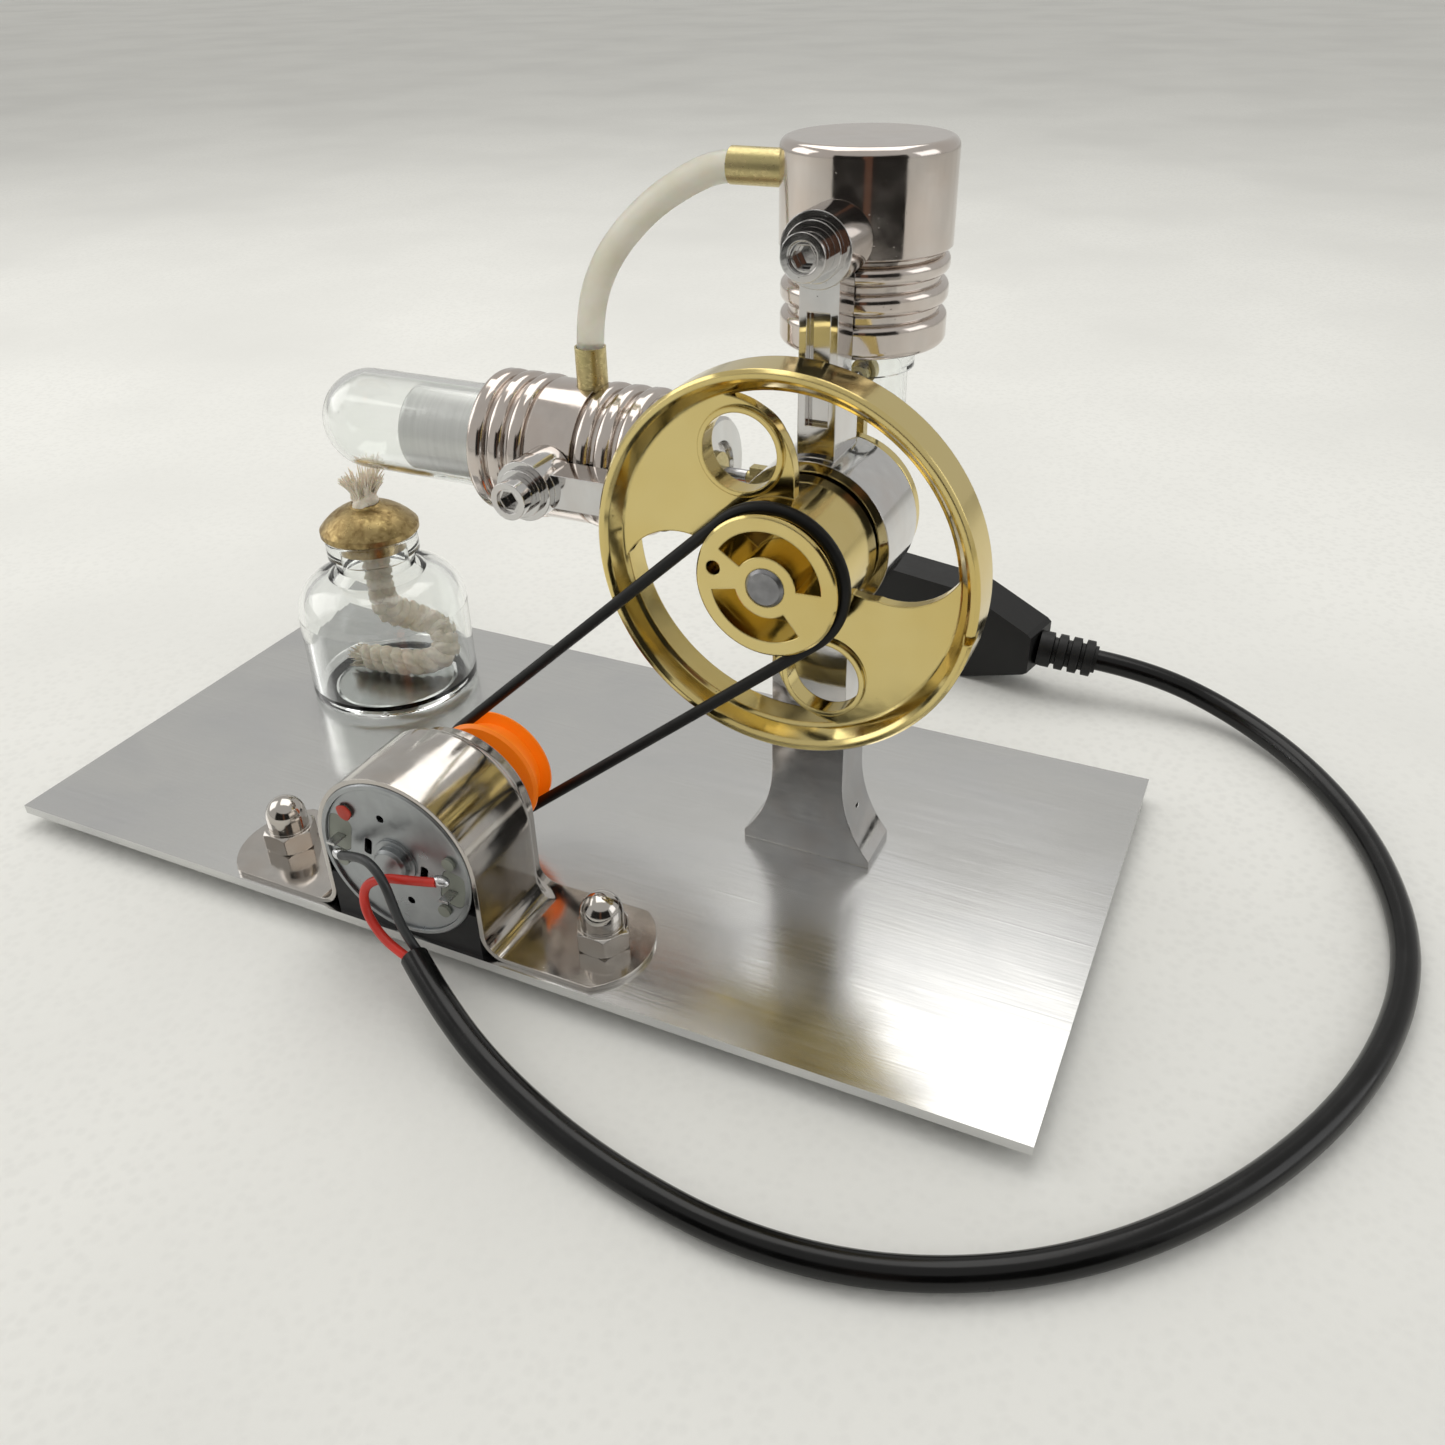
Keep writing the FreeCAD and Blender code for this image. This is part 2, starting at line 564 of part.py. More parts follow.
def kidney(name, inner, outer, low, high, depth):
    """A curved pocket between two radii and two angles, cut into the drum's front face."""
    (a, b), (c, d) = [(math.cos(math.radians(t)), math.sin(math.radians(t))) for t in (low, high)]
    outline = [(inner * a, inner * b), (outer * a, outer * b), (outer * c, outer * d, outer),
               (inner * c, inner * d)]
    first = outline[0]
    outline = [(first[0], first[1], -inner)] + outline[1:]
    return plate(name, outline, depth + 1, (S.stand_x, S.drum_front + depth, axle_z), FRONT)


# ---------------------------------------------------------------- power cylinder
def build_power_cylinder():
    """The upright cylinder with its glass liner, piston, lug and gudgeon pin."""
    foot, tip = S.cylinder_radius - 0.2 - S.fin_depth, S.cylinder_radius - 0.2
    bore = S.liner_radius + S.seat_gap
    profile = [(bore, 0)]
    for low, high in ((0, 4.2), (5.1, 7.9), (8.7, 11.1)):
        profile += bead(foot, tip, low, high)
    top = S.power_height
    profile += [(foot, 11.7), (S.cylinder_radius - 0.3, 11.7), (S.cylinder_radius, 12.0), (S.cylinder_radius, top - 1.2),
                (S.cylinder_radius - 1.2, top, 1.2), (0, top), (0, top - 2.5), (5.0, top - 2.5), (5.0, top - 6.3),
                (bore, top - 6.3)]
    body = turned("power_cylinder_body", profile, (S.stand_x, cylinder_y, power_base))
    nipple_hole = cylinder("upper_nipple_hole", S.nipple_radius + S.seat_gap, S.cylinder_radius,
                           (S.stand_x - 6.5, cylinder_y, axle_z + S.upper_nipple_rise), LEFT)
    air_hole = cylinder("upper_air_hole", 1.2, 8, (S.stand_x, cylinder_y, axle_z + S.upper_nipple_rise), LEFT)
    screw_hole = cylinder("upper_thread", S.screw_radius + S.seat_gap, 4.2,
                          (S.stand_x, cylinder_y - S.cylinder_radius - 1, upper_boss_z), BACK)
    keep("power_cylinder", cut("power_cylinder", body, nipple_hole, air_hole, screw_hole))
    liner_bottom = power_base - S.liner_drop
    liner_length = power_top - 6.4 - liner_bottom
    keep("cylinder_liner", turned("cylinder_liner", [
        (liner_inner, 0), (S.liner_radius, 0), (S.liner_radius, S.liner_drop - 3.2), (S.liner_radius + 0.8, S.liner_drop - 3.2),
        (S.liner_radius + 0.8, S.liner_drop - 0.05), (S.liner_radius, S.liner_drop - 0.05), (S.liner_radius, liner_length),
        (liner_inner, liner_length)], (S.stand_x, cylinder_y, liner_bottom)))
    piston_radius = liner_inner - S.running_gap
    piston = turned("piston_blank", [
        (0, 0), (piston_radius - 0.4, 0), (piston_radius, 0.4), (piston_radius, S.piston_length - 0.4),
        (piston_radius - 0.4, S.piston_length), (0, S.piston_length)], (S.stand_x, cylinder_y, piston_bottom))
    grooves = [tube(f"oil_groove_{index}", S.liner_radius, piston_radius - 0.25, 0.5,
                    (S.stand_x, cylinder_y, piston_bottom + height)) for index, height in enumerate((2.2, 4.4, 6.6))]
    stud_seat = cylinder("piston_stud_seat", 1.5 + S.seat_gap, 4, (S.stand_x, lug_y(), piston_bottom - 1))
    keep("power_piston", cut("power_piston", piston, *grooves, stud_seat))
    lug_half = 1.2
    stud = cylinder("lug_stud", 1.5, 3, (S.stand_x, lug_y(), piston_bottom - 0.2))
    bar = block("lug_bar", (2 * lug_half, S.conrod_thickness, piston_bottom - 0.1 - gudgeon_z),
                (S.stand_x - lug_half, lug_y() - S.conrod_thickness / 2, gudgeon_z))
    eye = cylinder("lug_eye", S.lug_eye, S.conrod_thickness, (S.stand_x, lug_y() - S.conrod_thickness / 2, gudgeon_z), BACK)
    hole = cylinder("lug_hole", S.small_pin_radius + S.seat_gap, S.conrod_thickness + 2,
                    (S.stand_x, lug_y() - S.conrod_thickness / 2 - 1, gudgeon_z), BACK)
    keep("piston_lug", cut("piston_lug", fused("lug_blank", stud, bar, eye), hole))
    keep("gudgeon_pin", cylinder("gudgeon_pin", S.small_pin_radius, S.conrod_thickness,
                                 (S.stand_x, lug_y() - S.conrod_thickness / 2, gudgeon_z), BACK))


def lug_y():
    """The piston's lug laps behind the power rod, a lap gap away."""
    return power_layer + S.conrod_thickness * 1.5 + S.lap_gap


# ---------------------------------------------------------------- displacer cylinder
def build_hot_cylinder():
    """The horizontal ribbed body with its glass tube, seal, end cover and guide bush."""
    foot, tip, band = S.cylinder_radius - S.fin_depth, S.cylinder_radius, S.cylinder_radius - 0.3
    bore, chamber = S.hot_tube_radius + S.seat_gap, S.hot_tube_radius - 0.75
    step = S.hot_tube_right - S.body_left
    profile = [(bore, 0)]
    for low, high in ((0, 3.0), (3.6, 6.3), (7.0, 9.7)):
        profile += bead(foot, tip, low, high)
    profile += [(foot, 10.2), (band, 10.3), (band, 18.0), (foot, 18.1)]
    for low, high in ((18.4, 21.0), (21.7, 24.4), (25.1, 27.8)):
        profile += bead(foot, tip, low, high)
    profile += [(foot, S.body_length), (chamber, S.body_length), (chamber, step + 0.05), (bore, step + 0.05)]
    body = turned("hot_cylinder_body", profile, (S.body_left, cylinder_y, axle_z), RIGHT)
    nipple_hole = cylinder("lower_nipple_hole", S.nipple_radius + S.seat_gap, 6,
                           (S.lower_nipple_x, cylinder_y, axle_z + S.hot_tube_radius))
    air_hole = cylinder("lower_air_hole", 1.2, 12, (S.lower_nipple_x, cylinder_y, axle_z))
    screw_hole = cylinder("left_thread", S.screw_radius + S.seat_gap, 3.4,
                          (left_boss_x, cylinder_y - S.cylinder_radius - 1, axle_z), BACK)
    groove = tube("seal_groove", S.hot_tube_radius + 0.9, S.hot_tube_radius - 0.5, 2.0,
                  (S.body_left + 4.0, cylinder_y, axle_z), RIGHT)
    keep("hot_cylinder", cut("hot_cylinder", body, nipple_hole, air_hole, screw_hole, groove))
    keep("tube_seal", tube("tube_seal", S.hot_tube_radius + 0.85, S.hot_tube_radius + S.seat_gap, 1.8,
                           (S.body_left + 4.1, cylinder_y, axle_z), RIGHT))
    outer, wall = S.hot_tube_radius, S.hot_tube_wall
    length = S.hot_tube_right - S.hot_tube_left
    keep("hot_tube", turned("hot_tube", [
        (0, 0), (outer, outer, outer), (outer, length), (outer - wall, length), (outer - wall, outer),
        (0, wall, -(outer - wall))], (S.hot_tube_left, cylinder_y, axle_z), RIGHT))
    cover = turned("end_cover", [
        (S.guide_radius + S.seat_gap, 0), (chamber - S.seat_gap, 0), (chamber - S.seat_gap, 3.0),
        (S.end_cover_radius, 3.0), (S.end_cover_radius, 2.6 + S.end_cover_length), (S.end_cover_radius - 0.4,
        3.0 + S.end_cover_length), (4.6, 3.0 + S.end_cover_length), (4.2, 2.0 + S.end_cover_length),
        (S.guide_radius + S.seat_gap, 2.0 + S.end_cover_length)], (body_right - 3.0, cylinder_y, axle_z), RIGHT)
    keep("end_cover", cover)
    keep("guide_bush", tube("guide_bush", S.guide_radius, S.displacer_rod_radius + S.running_gap,
                            3.0 + S.end_cover_length, (body_right - 3.0, cylinder_y, axle_z), RIGHT))


def build_displacer():
    """The displacer can with its plug, rod and the lug that laps over the crank rod."""
    wall, plug_length = 0.4, 4.0
    outer = S.displacer_radius
    keep("displacer", turned("displacer", [
        (0, 0), (outer - 1.0, 0), (outer, 1.0, 1.0), (outer, S.displacer_length), (outer - wall, S.displacer_length),
        (outer - wall, 1.2), (0, 1.2)], (S.displacer_left, cylinder_y, axle_z), RIGHT))
    right = S.displacer_left + S.displacer_length
    keep("displacer_plug", tube("displacer_plug", outer - wall - S.seat_gap, S.displacer_rod_radius + S.seat_gap,
                                plug_length, (right - plug_length, cylinder_y, axle_z), RIGHT))
    lug_left = S.displacer_pivot_x - 2.6
    keep("displacer_rod", cylinder("displacer_rod", S.displacer_rod_radius, lug_left - (right - plug_length),
                                   (right - plug_length, cylinder_y, axle_z), RIGHT))
    lug_front = power_layer
    plug = cylinder("lug_neck", S.displacer_rod_radius, 1.2, (lug_left + 0.05, cylinder_y, axle_z), RIGHT)
    bar = block("displacer_lug_bar", (2.6 - 0.6, S.conrod_thickness, 3.6),
                (lug_left + 0.6, lug_front, axle_z - 1.8))
    eye = cylinder("displacer_lug_eye", S.lug_eye, S.conrod_thickness, (S.displacer_pivot_x, lug_front, axle_z), BACK)
    hole = cylinder("displacer_lug_hole", S.small_pin_radius + S.seat_gap, S.conrod_thickness + 2,
                    (S.displacer_pivot_x, lug_front - 1, axle_z), BACK)
    keep("displacer_lug", cut("displacer_lug", fused("displacer_lug_blank", plug, bar, eye), hole))
    keep("displacer_pin", cylinder("displacer_pin", S.small_pin_radius, S.conrod_thickness,
                                   (S.displacer_pivot_x, lug_front, axle_z), BACK))


# ---------------------------------------------------------------- air hose
def build_hose():
    """Two brass nipples and the clear silicone hose that sits inside them."""
    profile = [(1.2, 0), (S.nipple_radius, 0), (S.nipple_radius, S.nipple_length), (S.hose_radius + S.seat_gap, S.nipple_length),
               (S.hose_radius + S.seat_gap, S.nipple_length - 3.0), (1.2, S.nipple_length - 3.0)]
    upper_z = axle_z + S.upper_nipple_rise
    upper_x = S.stand_x - S.cylinder_radius + 0.4
    lower_z = axle_z + S.hot_tube_radius + 0.4
    keep("upper_nipple", turned("upper_nipple", profile, (upper_x, cylinder_y, upper_z), LEFT))
    keep("lower_nipple", turned("lower_nipple", profile, (S.lower_nipple_x, cylinder_y, lower_z)))
    x, y, z = S.lower_nipple_x, cylinder_y, lower_z + S.nipple_length - 2.9
    end_x = upper_x - S.nipple_length + 2.9
    keep("air_hose", routed_tube("air_hose", [
        (x, y, z), (x, y, z + 7.0), (x + 3.6, y, z + 15.6), (x + 10.6, y, z + 22.6), (end_x - 9.0, y, upper_z - 1.9),
        (end_x - 4.2, y, upper_z), (end_x, y, upper_z)], S.hose_radius))


# ---------------------------------------------------------------- belt
def build_belt():
    """A round rubber belt: two arcs and two tangent runs; its plane leans a little, from the drum to the pulley."""
    big, small = float(S.belt_path_radius), float(S.motor_belt_radius)
    drum = Vector(float(S.stand_x), float(S.drum_belt_y), float(axle_z))
    pulley = Vector(float(S.motor_x), float(S.pulley_belt_y), float(motor_z))
    run = pulley - drum
    lean = math.acos((big - small) / run.Length)
    along = Vector(run).normalize()
    across = along.cross(Vector(0, 1, 0)).normalize()

    def point(centre, radius, angle):
        return centre + (along * math.cos(angle) + across * math.sin(angle)) * radius

    path = Part.Wire([
        Part.LineSegment(point(drum, big, -lean), point(pulley, small, -lean)).toShape(),
        Part.Arc(point(pulley, small, -lean), point(pulley, small, 0), point(pulley, small, lean)).toShape(),
        Part.LineSegment(point(pulley, small, lean), point(drum, big, lean)).toShape(),
        Part.Arc(point(drum, big, lean), point(drum, big, math.pi), point(drum, big, -lean)).toShape(),
    ])
    start = point(drum, big, -lean)
    ring = Part.Circle(start, point(pulley, small, -lean) - start, float(S.belt_radius)).toShape()
    item = doc.addObject("Part::Feature", "drive_belt")
    item.Shape = path.makePipeShell([Part.Wire(ring)], True, False)
    keep("drive_belt", item)


# ---------------------------------------------------------------- generator
def build_generator():
    """The can motor that works as a generator: can, end cap, magnets, armature, shaft and pulley."""
    wall, radius = 0.8, S.motor_radius
    at = (S.motor_x, S.motor_front, motor_z)
    length = S.motor_length
    keep("motor_can", turned("motor_can", [
        (radius - wall, 0), (radius - 0.2, 0), (radius, 0.2), (radius, length - 0.8), (radius - 0.8, length, 0.8),
        (3.0, length), (3.0, length + 1.4), (1.6 + S.seat_gap, length + 1.4), (1.6 + S.seat_gap, length - 1.0),
        (radius - wall, length - 1.0)], at, BACK))
    keep("motor_bush", tube("motor_bush", 1.6, S.motor_shaft_radius + S.running_gap, 2.4,
                            (S.motor_x, motor_back - 1.0, motor_z), BACK))
    cap_radius = radius - wall - S.seat_gap
    cap = turned("cap_blank", [
        (0, 1.4), (0, -1.3), (2.2, -1.3), (2.6, -0.9), (2.6, 0), (3.4, 0), (3.4, 0.4), (cap_radius, 0.4), (cap_radius, 1.2),
        (3.5, 1.2), (3.5, 1.4)], at, BACK)
    shaft_hole = cylinder("cap_bearing_hole", S.motor_shaft_radius + S.running_gap, 2.0,
                          (S.motor_x, S.motor_front - 0.5, motor_z), BACK)
    lean = -13
    tools = [shaft_hole]
    for index, turn in enumerate((lean, lean + 180)):
        tools.append(cap_slot(f"cap_window_{index}", turn, 9.3, 3.0, 1.9, 1.3))
        tools.append(cap_slot(f"cap_vent_{index}", turn, 4.6, 1.4, 0.6, 0.4))
        spot = math.radians(turn + 115)
        tools.append(cylinder(f"cap_hole_{index}", 0.6, 3, (S.motor_x + 6.7 * math.cos(spot), S.motor_front - 0.5,
                                                            motor_z + 6.7 * math.sin(spot)), BACK))
    keep("motor_end_cap", cut("motor_end_cap", cap, *tools))
    plastics, tabs = [], []
    for index, turn in enumerate((lean, lean + 180)):
        insulator = cap_slot(f"insulator_blank_{index}", turn, 9.3, 2.95, 1.85, 1.25, 0.45, 0.7)
        for side in (-28, 28):
            spot = math.radians(turn + side)
            plastics.append(cylinder(f"rivet_{index}_{side + 28}", 0.95, 0.5,
                                     (S.motor_x + 9.5 * math.cos(spot), S.motor_front - 0.12,
                                      motor_z + 9.5 * math.sin(spot)), BACK))
        spot = math.radians(turn)
        left, low = S.motor_x + 9.2 * math.cos(spot) - 0.7, motor_z + 9.2 * math.sin(spot) - 0.6
        tabs.append(block(f"terminal_{index}", (1.4, 2.6, 0.35), (left, S.motor_front - 1.9, low)))
        slot = block(f"terminal_slot_{index}", (1.4 + 2 * S.seat_gap, 4.0, 0.35 + 2 * S.seat_gap),
                     (left - S.seat_gap, S.motor_front - 1.9, low - S.seat_gap))
        plastics.append(cut(f"insulator_{index}", insulator, slot))
    keep("terminal_insulators", group("terminal_insulators", *plastics))
    keep("motor_terminals", group("motor_terminals", *tabs))
    magnet_front = S.motor_front + 2.4
    ring = tube("magnet_ring", radius - wall - 0.05, radius - wall - 1.8, 7.6, (S.motor_x, magnet_front, motor_z), BACK)
    gap = block("magnet_gap", (6.0, 12.0, 30.0), (S.motor_x - 3.0, magnet_front - 2.0, motor_z - 15.0))
    keep("motor_magnets", cut("motor_magnets", ring, gap))
    core = tube("core", radius - wall - 2.4, S.motor_shaft_radius + S.seat_gap, 5.0,
                (S.motor_x, magnet_front + 1.3, motor_z), BACK)
    slots = []
    for index in range(3):
        angle = math.radians(30 + 120 * index)
        slots.append(cylinder(f"armature_slot_{index}", 2.6, 7,
                              (S.motor_x + 6.0 * math.cos(angle), magnet_front + 0.3, motor_z + 6.0 * math.sin(angle)),
                              BACK))
    keep("motor_armature", cut("motor_armature", core, *slots))
    shaft_back = S.pulley_belt_y + 2.9
    keep("motor_shaft", cylinder("motor_shaft", S.motor_shaft_radius, shaft_back - S.motor_front - 0.3,
                                 (S.motor_x, S.motor_front + 0.3, motor_z), BACK))
    groove = S.motor_belt_radius - S.belt_radius - 0.15
    flange, half = S.motor_pulley_radius, groove_width / 2
    keep("motor_pulley", turned("motor_pulley", [
        (S.motor_shaft_radius + S.seat_gap, -4.6), (3.0, -4.6), (3.0, -half - 1.2), (flange - 0.4, -half - 1.2),
        (flange, -half - 0.8), (flange, -half - 0.5), (groove, -half), (groove, half), (flange, half + 0.5),
        (flange, half + 0.8), (flange - 0.4, half + 1.2), (3.0, half + 1.2), (3.0, half + 1.8),
        (S.motor_shaft_radius + S.seat_gap, half + 1.8)], (S.motor_x, S.pulley_belt_y, motor_z), BACK))


def cap_slot(name, turn, radius, half, half_width, corner, front=-0.5, depth=3.0):
    """A rounded slot in the motor's end cap; its long side lies along the circle of the given radius."""
    spot = math.radians(turn)
    outline = [(half_width - corner, -half), (half_width, -half + corner, corner), (half_width, half - corner),
               (half_width - corner, half, corner), (-half_width + corner, half), (-half_width, half - corner, corner),
               (-half_width, -half + corner), (-half_width + corner, -half, corner)]
    at = (S.motor_x + radius * math.cos(spot), S.motor_front + front + depth, motor_z + radius * math.sin(spot))
    return plate(name, outline, depth, at, Rotation(Vector(0, 1, 0), -turn).multiply(FRONT))


def strap(name, inner, outer, front, depth):
    """A bent sheet over the motor: two long feet, two legs with a bend at the foot, and a half ring."""
    sheet, bend, rise = S.bracket_sheet, S.bracket_bend, S.motor_height
    reach = S.bracket_length
    outside, inside = outer + bend, inner + sheet + bend
    outline = [
        (reach, 0), (reach, sheet), (outside, sheet), (outer, sheet + bend, -bend), (outer, rise),
        (0, rise + outer, outer), (-outer, rise, outer), (-outer, sheet + bend), (-outside, sheet, -bend),
        (-reach, sheet), (-reach, 0), (-inside, 0), (-inner, sheet + bend, sheet + bend), (-inner, rise),
        (0, rise + inner, -inner), (inner, rise, -inner), (inner, sheet + bend), (inside, 0, sheet + bend),
    ]
    return plate(name, outline, depth, (S.motor_x, front + depth, deck), FRONT)


def build_bracket():
    """The stainless strap with its step and rounded feet, the rubber pad, the screws and the cap nuts."""
    sheet, width = S.bracket_sheet, S.bracket_width
    front = S.motor_front + 0.3
    front_radius = S.motor_radius + 0.05
    rear_radius = front_radius - S.bracket_step
    shoulder = motor_back + 0.1 - front
    bands = [
        strap("front_band", front_radius, front_radius + sheet, front, shoulder + sheet),
        strap("shoulder", rear_radius, front_radius + sheet, front + shoulder, sheet),
        strap("rear_band", rear_radius, rear_radius + sheet, front + shoulder, width - shoulder),
    ]
    corner = S.bracket_length / 2 - S.bracket_end
    end_radius = (width * width / 4 + S.bracket_end * S.bracket_end) / (2 * S.bracket_end)
    outline = [(corner, 0), (corner, width, end_radius), (-corner, width), (-corner, 0, end_radius)]
    blank = plate("bracket_outline", outline, 2 * S.motor_height + 10, (S.bracket_x, front, deck))
    bolt_holes = [cylinder(f"bracket_hole_{index}", S.bolt_radius + S.running_gap, 3,
                           (S.bracket_x + S.nut_spacing / 2 * side, S.nut_y, deck - 1))
                  for index, side in enumerate((-1, 1))]
    keep("motor_bracket", cut("motor_bracket", common("bracket_blank", fused("bracket_bands", *bands), blank),
                              *bolt_holes))
    pad_half = front_radius - 0.1
    pad = block("pad_blank", (2 * pad_half, shoulder - 0.1, 7.0), (S.motor_x - pad_half, front, deck))
    seat = cylinder("pad_seat", S.motor_radius + S.seat_gap, 30, (S.motor_x, front - 5, motor_z), BACK)
    keep("motor_pad", cut("motor_pad", pad, seat))
    nuts, screws = [], []
    for index, side in enumerate((-1, 1)):
        x = S.bracket_x + S.nut_spacing / 2 * side
        spot = (x, S.nut_y, foot_top)
        base = hexagon(f"nut_base_{index}", S.nut_flats, 3.2, spot)
        chamfer = turned(f"nut_chamfer_{index}", [(0, -0.1), (3.5, -0.1), (4.1, 0.4), (4.1, 2.8), (3.4, 3.3), (0, 3.3)], spot)
        dome = turned(f"nut_dome_{index}", [(0, 3.0), (3.0, 3.0), (3.0, 5.2), (0, 8.2, 3.0)], spot)
        thread = cylinder(f"nut_thread_{index}", S.bolt_radius + S.seat_gap, 5.6, (x, S.nut_y, foot_top - 0.1))
        nuts.append(cut(f"cap_nut_{index}", fused(f"nut_blank_{index}", common(f"nut_hexagon_{index}", base, chamfer), dome),
                        thread))
        head = cylinder(f"bolt_head_{index}", 3.6, S.foot_height - 0.62, (x, S.nut_y, 0.6))
        shank = cylinder(f"bolt_shank_{index}", S.bolt_radius, foot_top + 5.0 - 0.6, (x, S.nut_y, 0.6))
        screws.append(fused(f"bracket_screw_{index}", head, shank))
    keep("cap_nuts", group("cap_nuts", *nuts))
    keep("bracket_screws", group("bracket_screws", *screws))


# ---------------------------------------------------------------- burner
def build_burner():
    """The spirit burner: glass bottle, brass cap, and the braided cotton wick."""
    x, y = S.burner_x, S.burner_y
    r, wall, top = S.bottle_radius, S.bottle_wall, S.bottle_height
    keep("burner_bottle", turned("burner_bottle", [
        (0, 0.3), (r - 4.4, 0.3), (r - 3.9, 0), (r - 1.5, 0), (r, 1.5, 1.5), (r, 16), (r - 6.4, 22.7, 6.9), (S.neck_radius, 24.0), (S.neck_radius, 25.6),
        (S.lip_radius, 26.4), (S.lip_radius, top - 0.6), (S.lip_radius - 0.6, top, 0.6), (S.neck_radius - 1.0, top),
        (S.neck_radius - 1.0, 23.4), (r - 7.4, 21.6), (r - wall, 15.6, -6.6), (r - wall, 2.4), (r - wall - 1.2, wall),
        (0, wall)], (x, y, deck)))
    inner = S.wick_radius + 0.12
    keep("burner_cap", turned("burner_cap", [
        (inner, top - 2.6), (S.neck_radius - 1.3, top - 2.6),
        (S.neck_radius - 1.3, top + 0.05), (S.cap_radius - 0.3, top + 0.05), (S.cap_radius, top + 0.4),
        (S.cap_radius, top + 1.3), (inner + 0.6, top + 5.1, 11.0), (inner, top + 5.5)], (x, y, deck)))
    low = deck + wall + S.wick_radius + 0.1
    keep("burner_wick", routed_tube("burner_wick", [
        (x, y, S.wick_top), (x, y, 33.0), (x, y, 22.2), (x - 0.9, y + 1.6, 17.8), (x + 0.4, y + 6.8, 14.6),
        (x + 5.4, y + 9.4, 12.0), (x + 8.2, y + 5.6, low + 0.8), (x + 4.4, y + 1.6, low), (x - 2.2, y + 0.6, low),
        (x - 7.0, y + 0.2, low), (x - 11.2, y - 0.6, low)], S.wick_radius))


# ---------------------------------------------------------------- leads, cable and output socket
def build_cable():
    """Two thin leads join one jacketed cable that loops on the table to a moulded output socket."""
    mouth = Vector(0.4, -46.0, 7.4)
    outlet = Vector(-8.8, 5.4, 2.4).normalize() * 0.35
    side = Vector(0.42, 0.68, 0.0)
    keep("black_lead", routed_tube("black_lead", [
        (-13.2, -41.7, 17.2), (-9.9, -42.7, 18.9), (-6.2, -43.8, 19.9), (-3.3, -44.9, 18.2), (-2.1, -45.3, 14.4),
        (-1.2, -45.3, 10.6), mouth + side + outlet], S.lead_radius))
    keep("red_lead", routed_tube("red_lead", [
        (2.3, -41.4, 17.4), (-1.3, -42.2, 17.1), (-5.2, -42.9, 16.9), (-8.5, -43.5, 14.9), (-8.5, -44.2, 11.3),
        (-5.8, -45.3, 9.0), (-2.9, -46.2, 8.2), mouth - side + outlet], S.lead_radius))
    exit_from = Vector(57.5, 67.5, 9.0)
    relief_way = Vector(16.5, 1.6, -1.4).normalize()
    relief_end = exit_from + relief_way * float(S.relief_length)
    keep("output_cable", routed_tube("output_cable", [
        mouth, (9.2, -51.4, 5.0), (22.5, -56.9, 2.6), (38.5, -61.6, 1.95), (57.5, -63.9, 1.95), (75.5, -60.1, 1.95),
        (93.0, -49.4, 1.95), (107.8, -31.6, 1.95), (118.3, -9.8, 1.95), (122.3, 14.0, 1.95), (117.2, 37.6, 1.95),
        (106.2, 56.8, 2.1), (92.0, 68.2, 3.4), relief_end + relief_way * 9.8, relief_end], S.cable_radius))
    turn = Rotation(Vector(0, 0, 1), relief_way)
    profile = [(0, 0), (3.2, 0)]
    for index in range(4):
        low = 0.9 + 2.45 * index
        profile += [(3.3, low), (3.3, low + 1.5), (2.5, low + 1.7), (2.5, low + 2.3)]
    profile = profile[:-1] + [(2.5, S.relief_length), (0, S.relief_length)]
    relief = turned("relief_blank", profile, tuple(exit_from), turn)
    way = math.degrees(math.atan2(7.0, -30.0))
    rotation = Rotation(Vector(0, 0, 1), way).multiply(FRONT)
    depth, height, length = S.socket_depth, S.socket_height, S.socket_length
    outward = Vector(math.sin(math.radians(way)), -math.cos(math.radians(way)), 0)
    corner = Vector(exit_from.x, exit_from.y, 0) - outward * (float(depth) / 2)
    centre = height / 2
    outline = [(0, centre - 3.6), (0.8, centre - 4.2), (12.0, 0.6), (15.0, 0.02, 12.0), (length, 0.02), (length, height),
               (15.0, height), (12.0, height - 0.6, 12.0), (0.8, centre + 4.2), (0, centre + 3.6)]
    housing = plate("housing_blank", outline, depth, tuple(corner), rotation)

    def inside(name, along, half_height, half_depth, long):
        """A box in the socket's mouth, measured along the housing's own axis."""
        item = plate(name, [(along, centre - half_height), (along + long, centre - half_height),
                            (along + long, centre + half_height), (along, centre + half_height)], 2 * half_depth,
                     tuple(corner + outward * (float(depth) / 2 - half_depth)), rotation)
        return item

    pocket = inside("socket_pocket", length - 12.0, 7.2, 3.3, 14.0)
    keep("socket_housing", cut("socket_housing", housing, pocket))
    keep("strain_relief", cut("strain_relief", relief, housing))
    shell = inside("shell_blank", length - 11.9, 7.15, 3.25, 12.1)
    hollow = inside("shell_hollow", length - 11.5, 6.8, 2.9, 13.0)
    keep("socket_shell", cut("socket_shell", shell, hollow))
    keep("socket_tongue", inside("socket_tongue", length - 11.4, 5.6, 0.9, 9.6))


# ---------------------------------------------------------------- build, check and write
def check_and_write():
    doc.recompute()
    failed = [item.Name for item in doc.Objects if "Invalid" in item.State or "Error" in item.State]
    for name, item in NODES.items():
        shape = item.Shape
        if shape.isNull() or not shape.isValid() or not shape.Solids:
            failed.append(name)
    if failed:
        raise RuntimeError(f"failed objects: {failed}")
    os.makedirs("parts", exist_ok=True)
    for name, item in NODES.items():
        item.Shape.exportStep(f"parts/{name}.step")
    print(len(NODES), "nodes,", sum(len(item.Shape.Solids) for item in NODES.values()), "solids")


build_base()
build_stand()
build_bearings()
build_crank()
build_conrods()
build_flywheel()
build_power_cylinder()
build_hot_cylinder()
build_displacer()
build_hose()
build_belt()
build_generator()
build_bracket()
build_burner()
build_cable()
check_and_write()
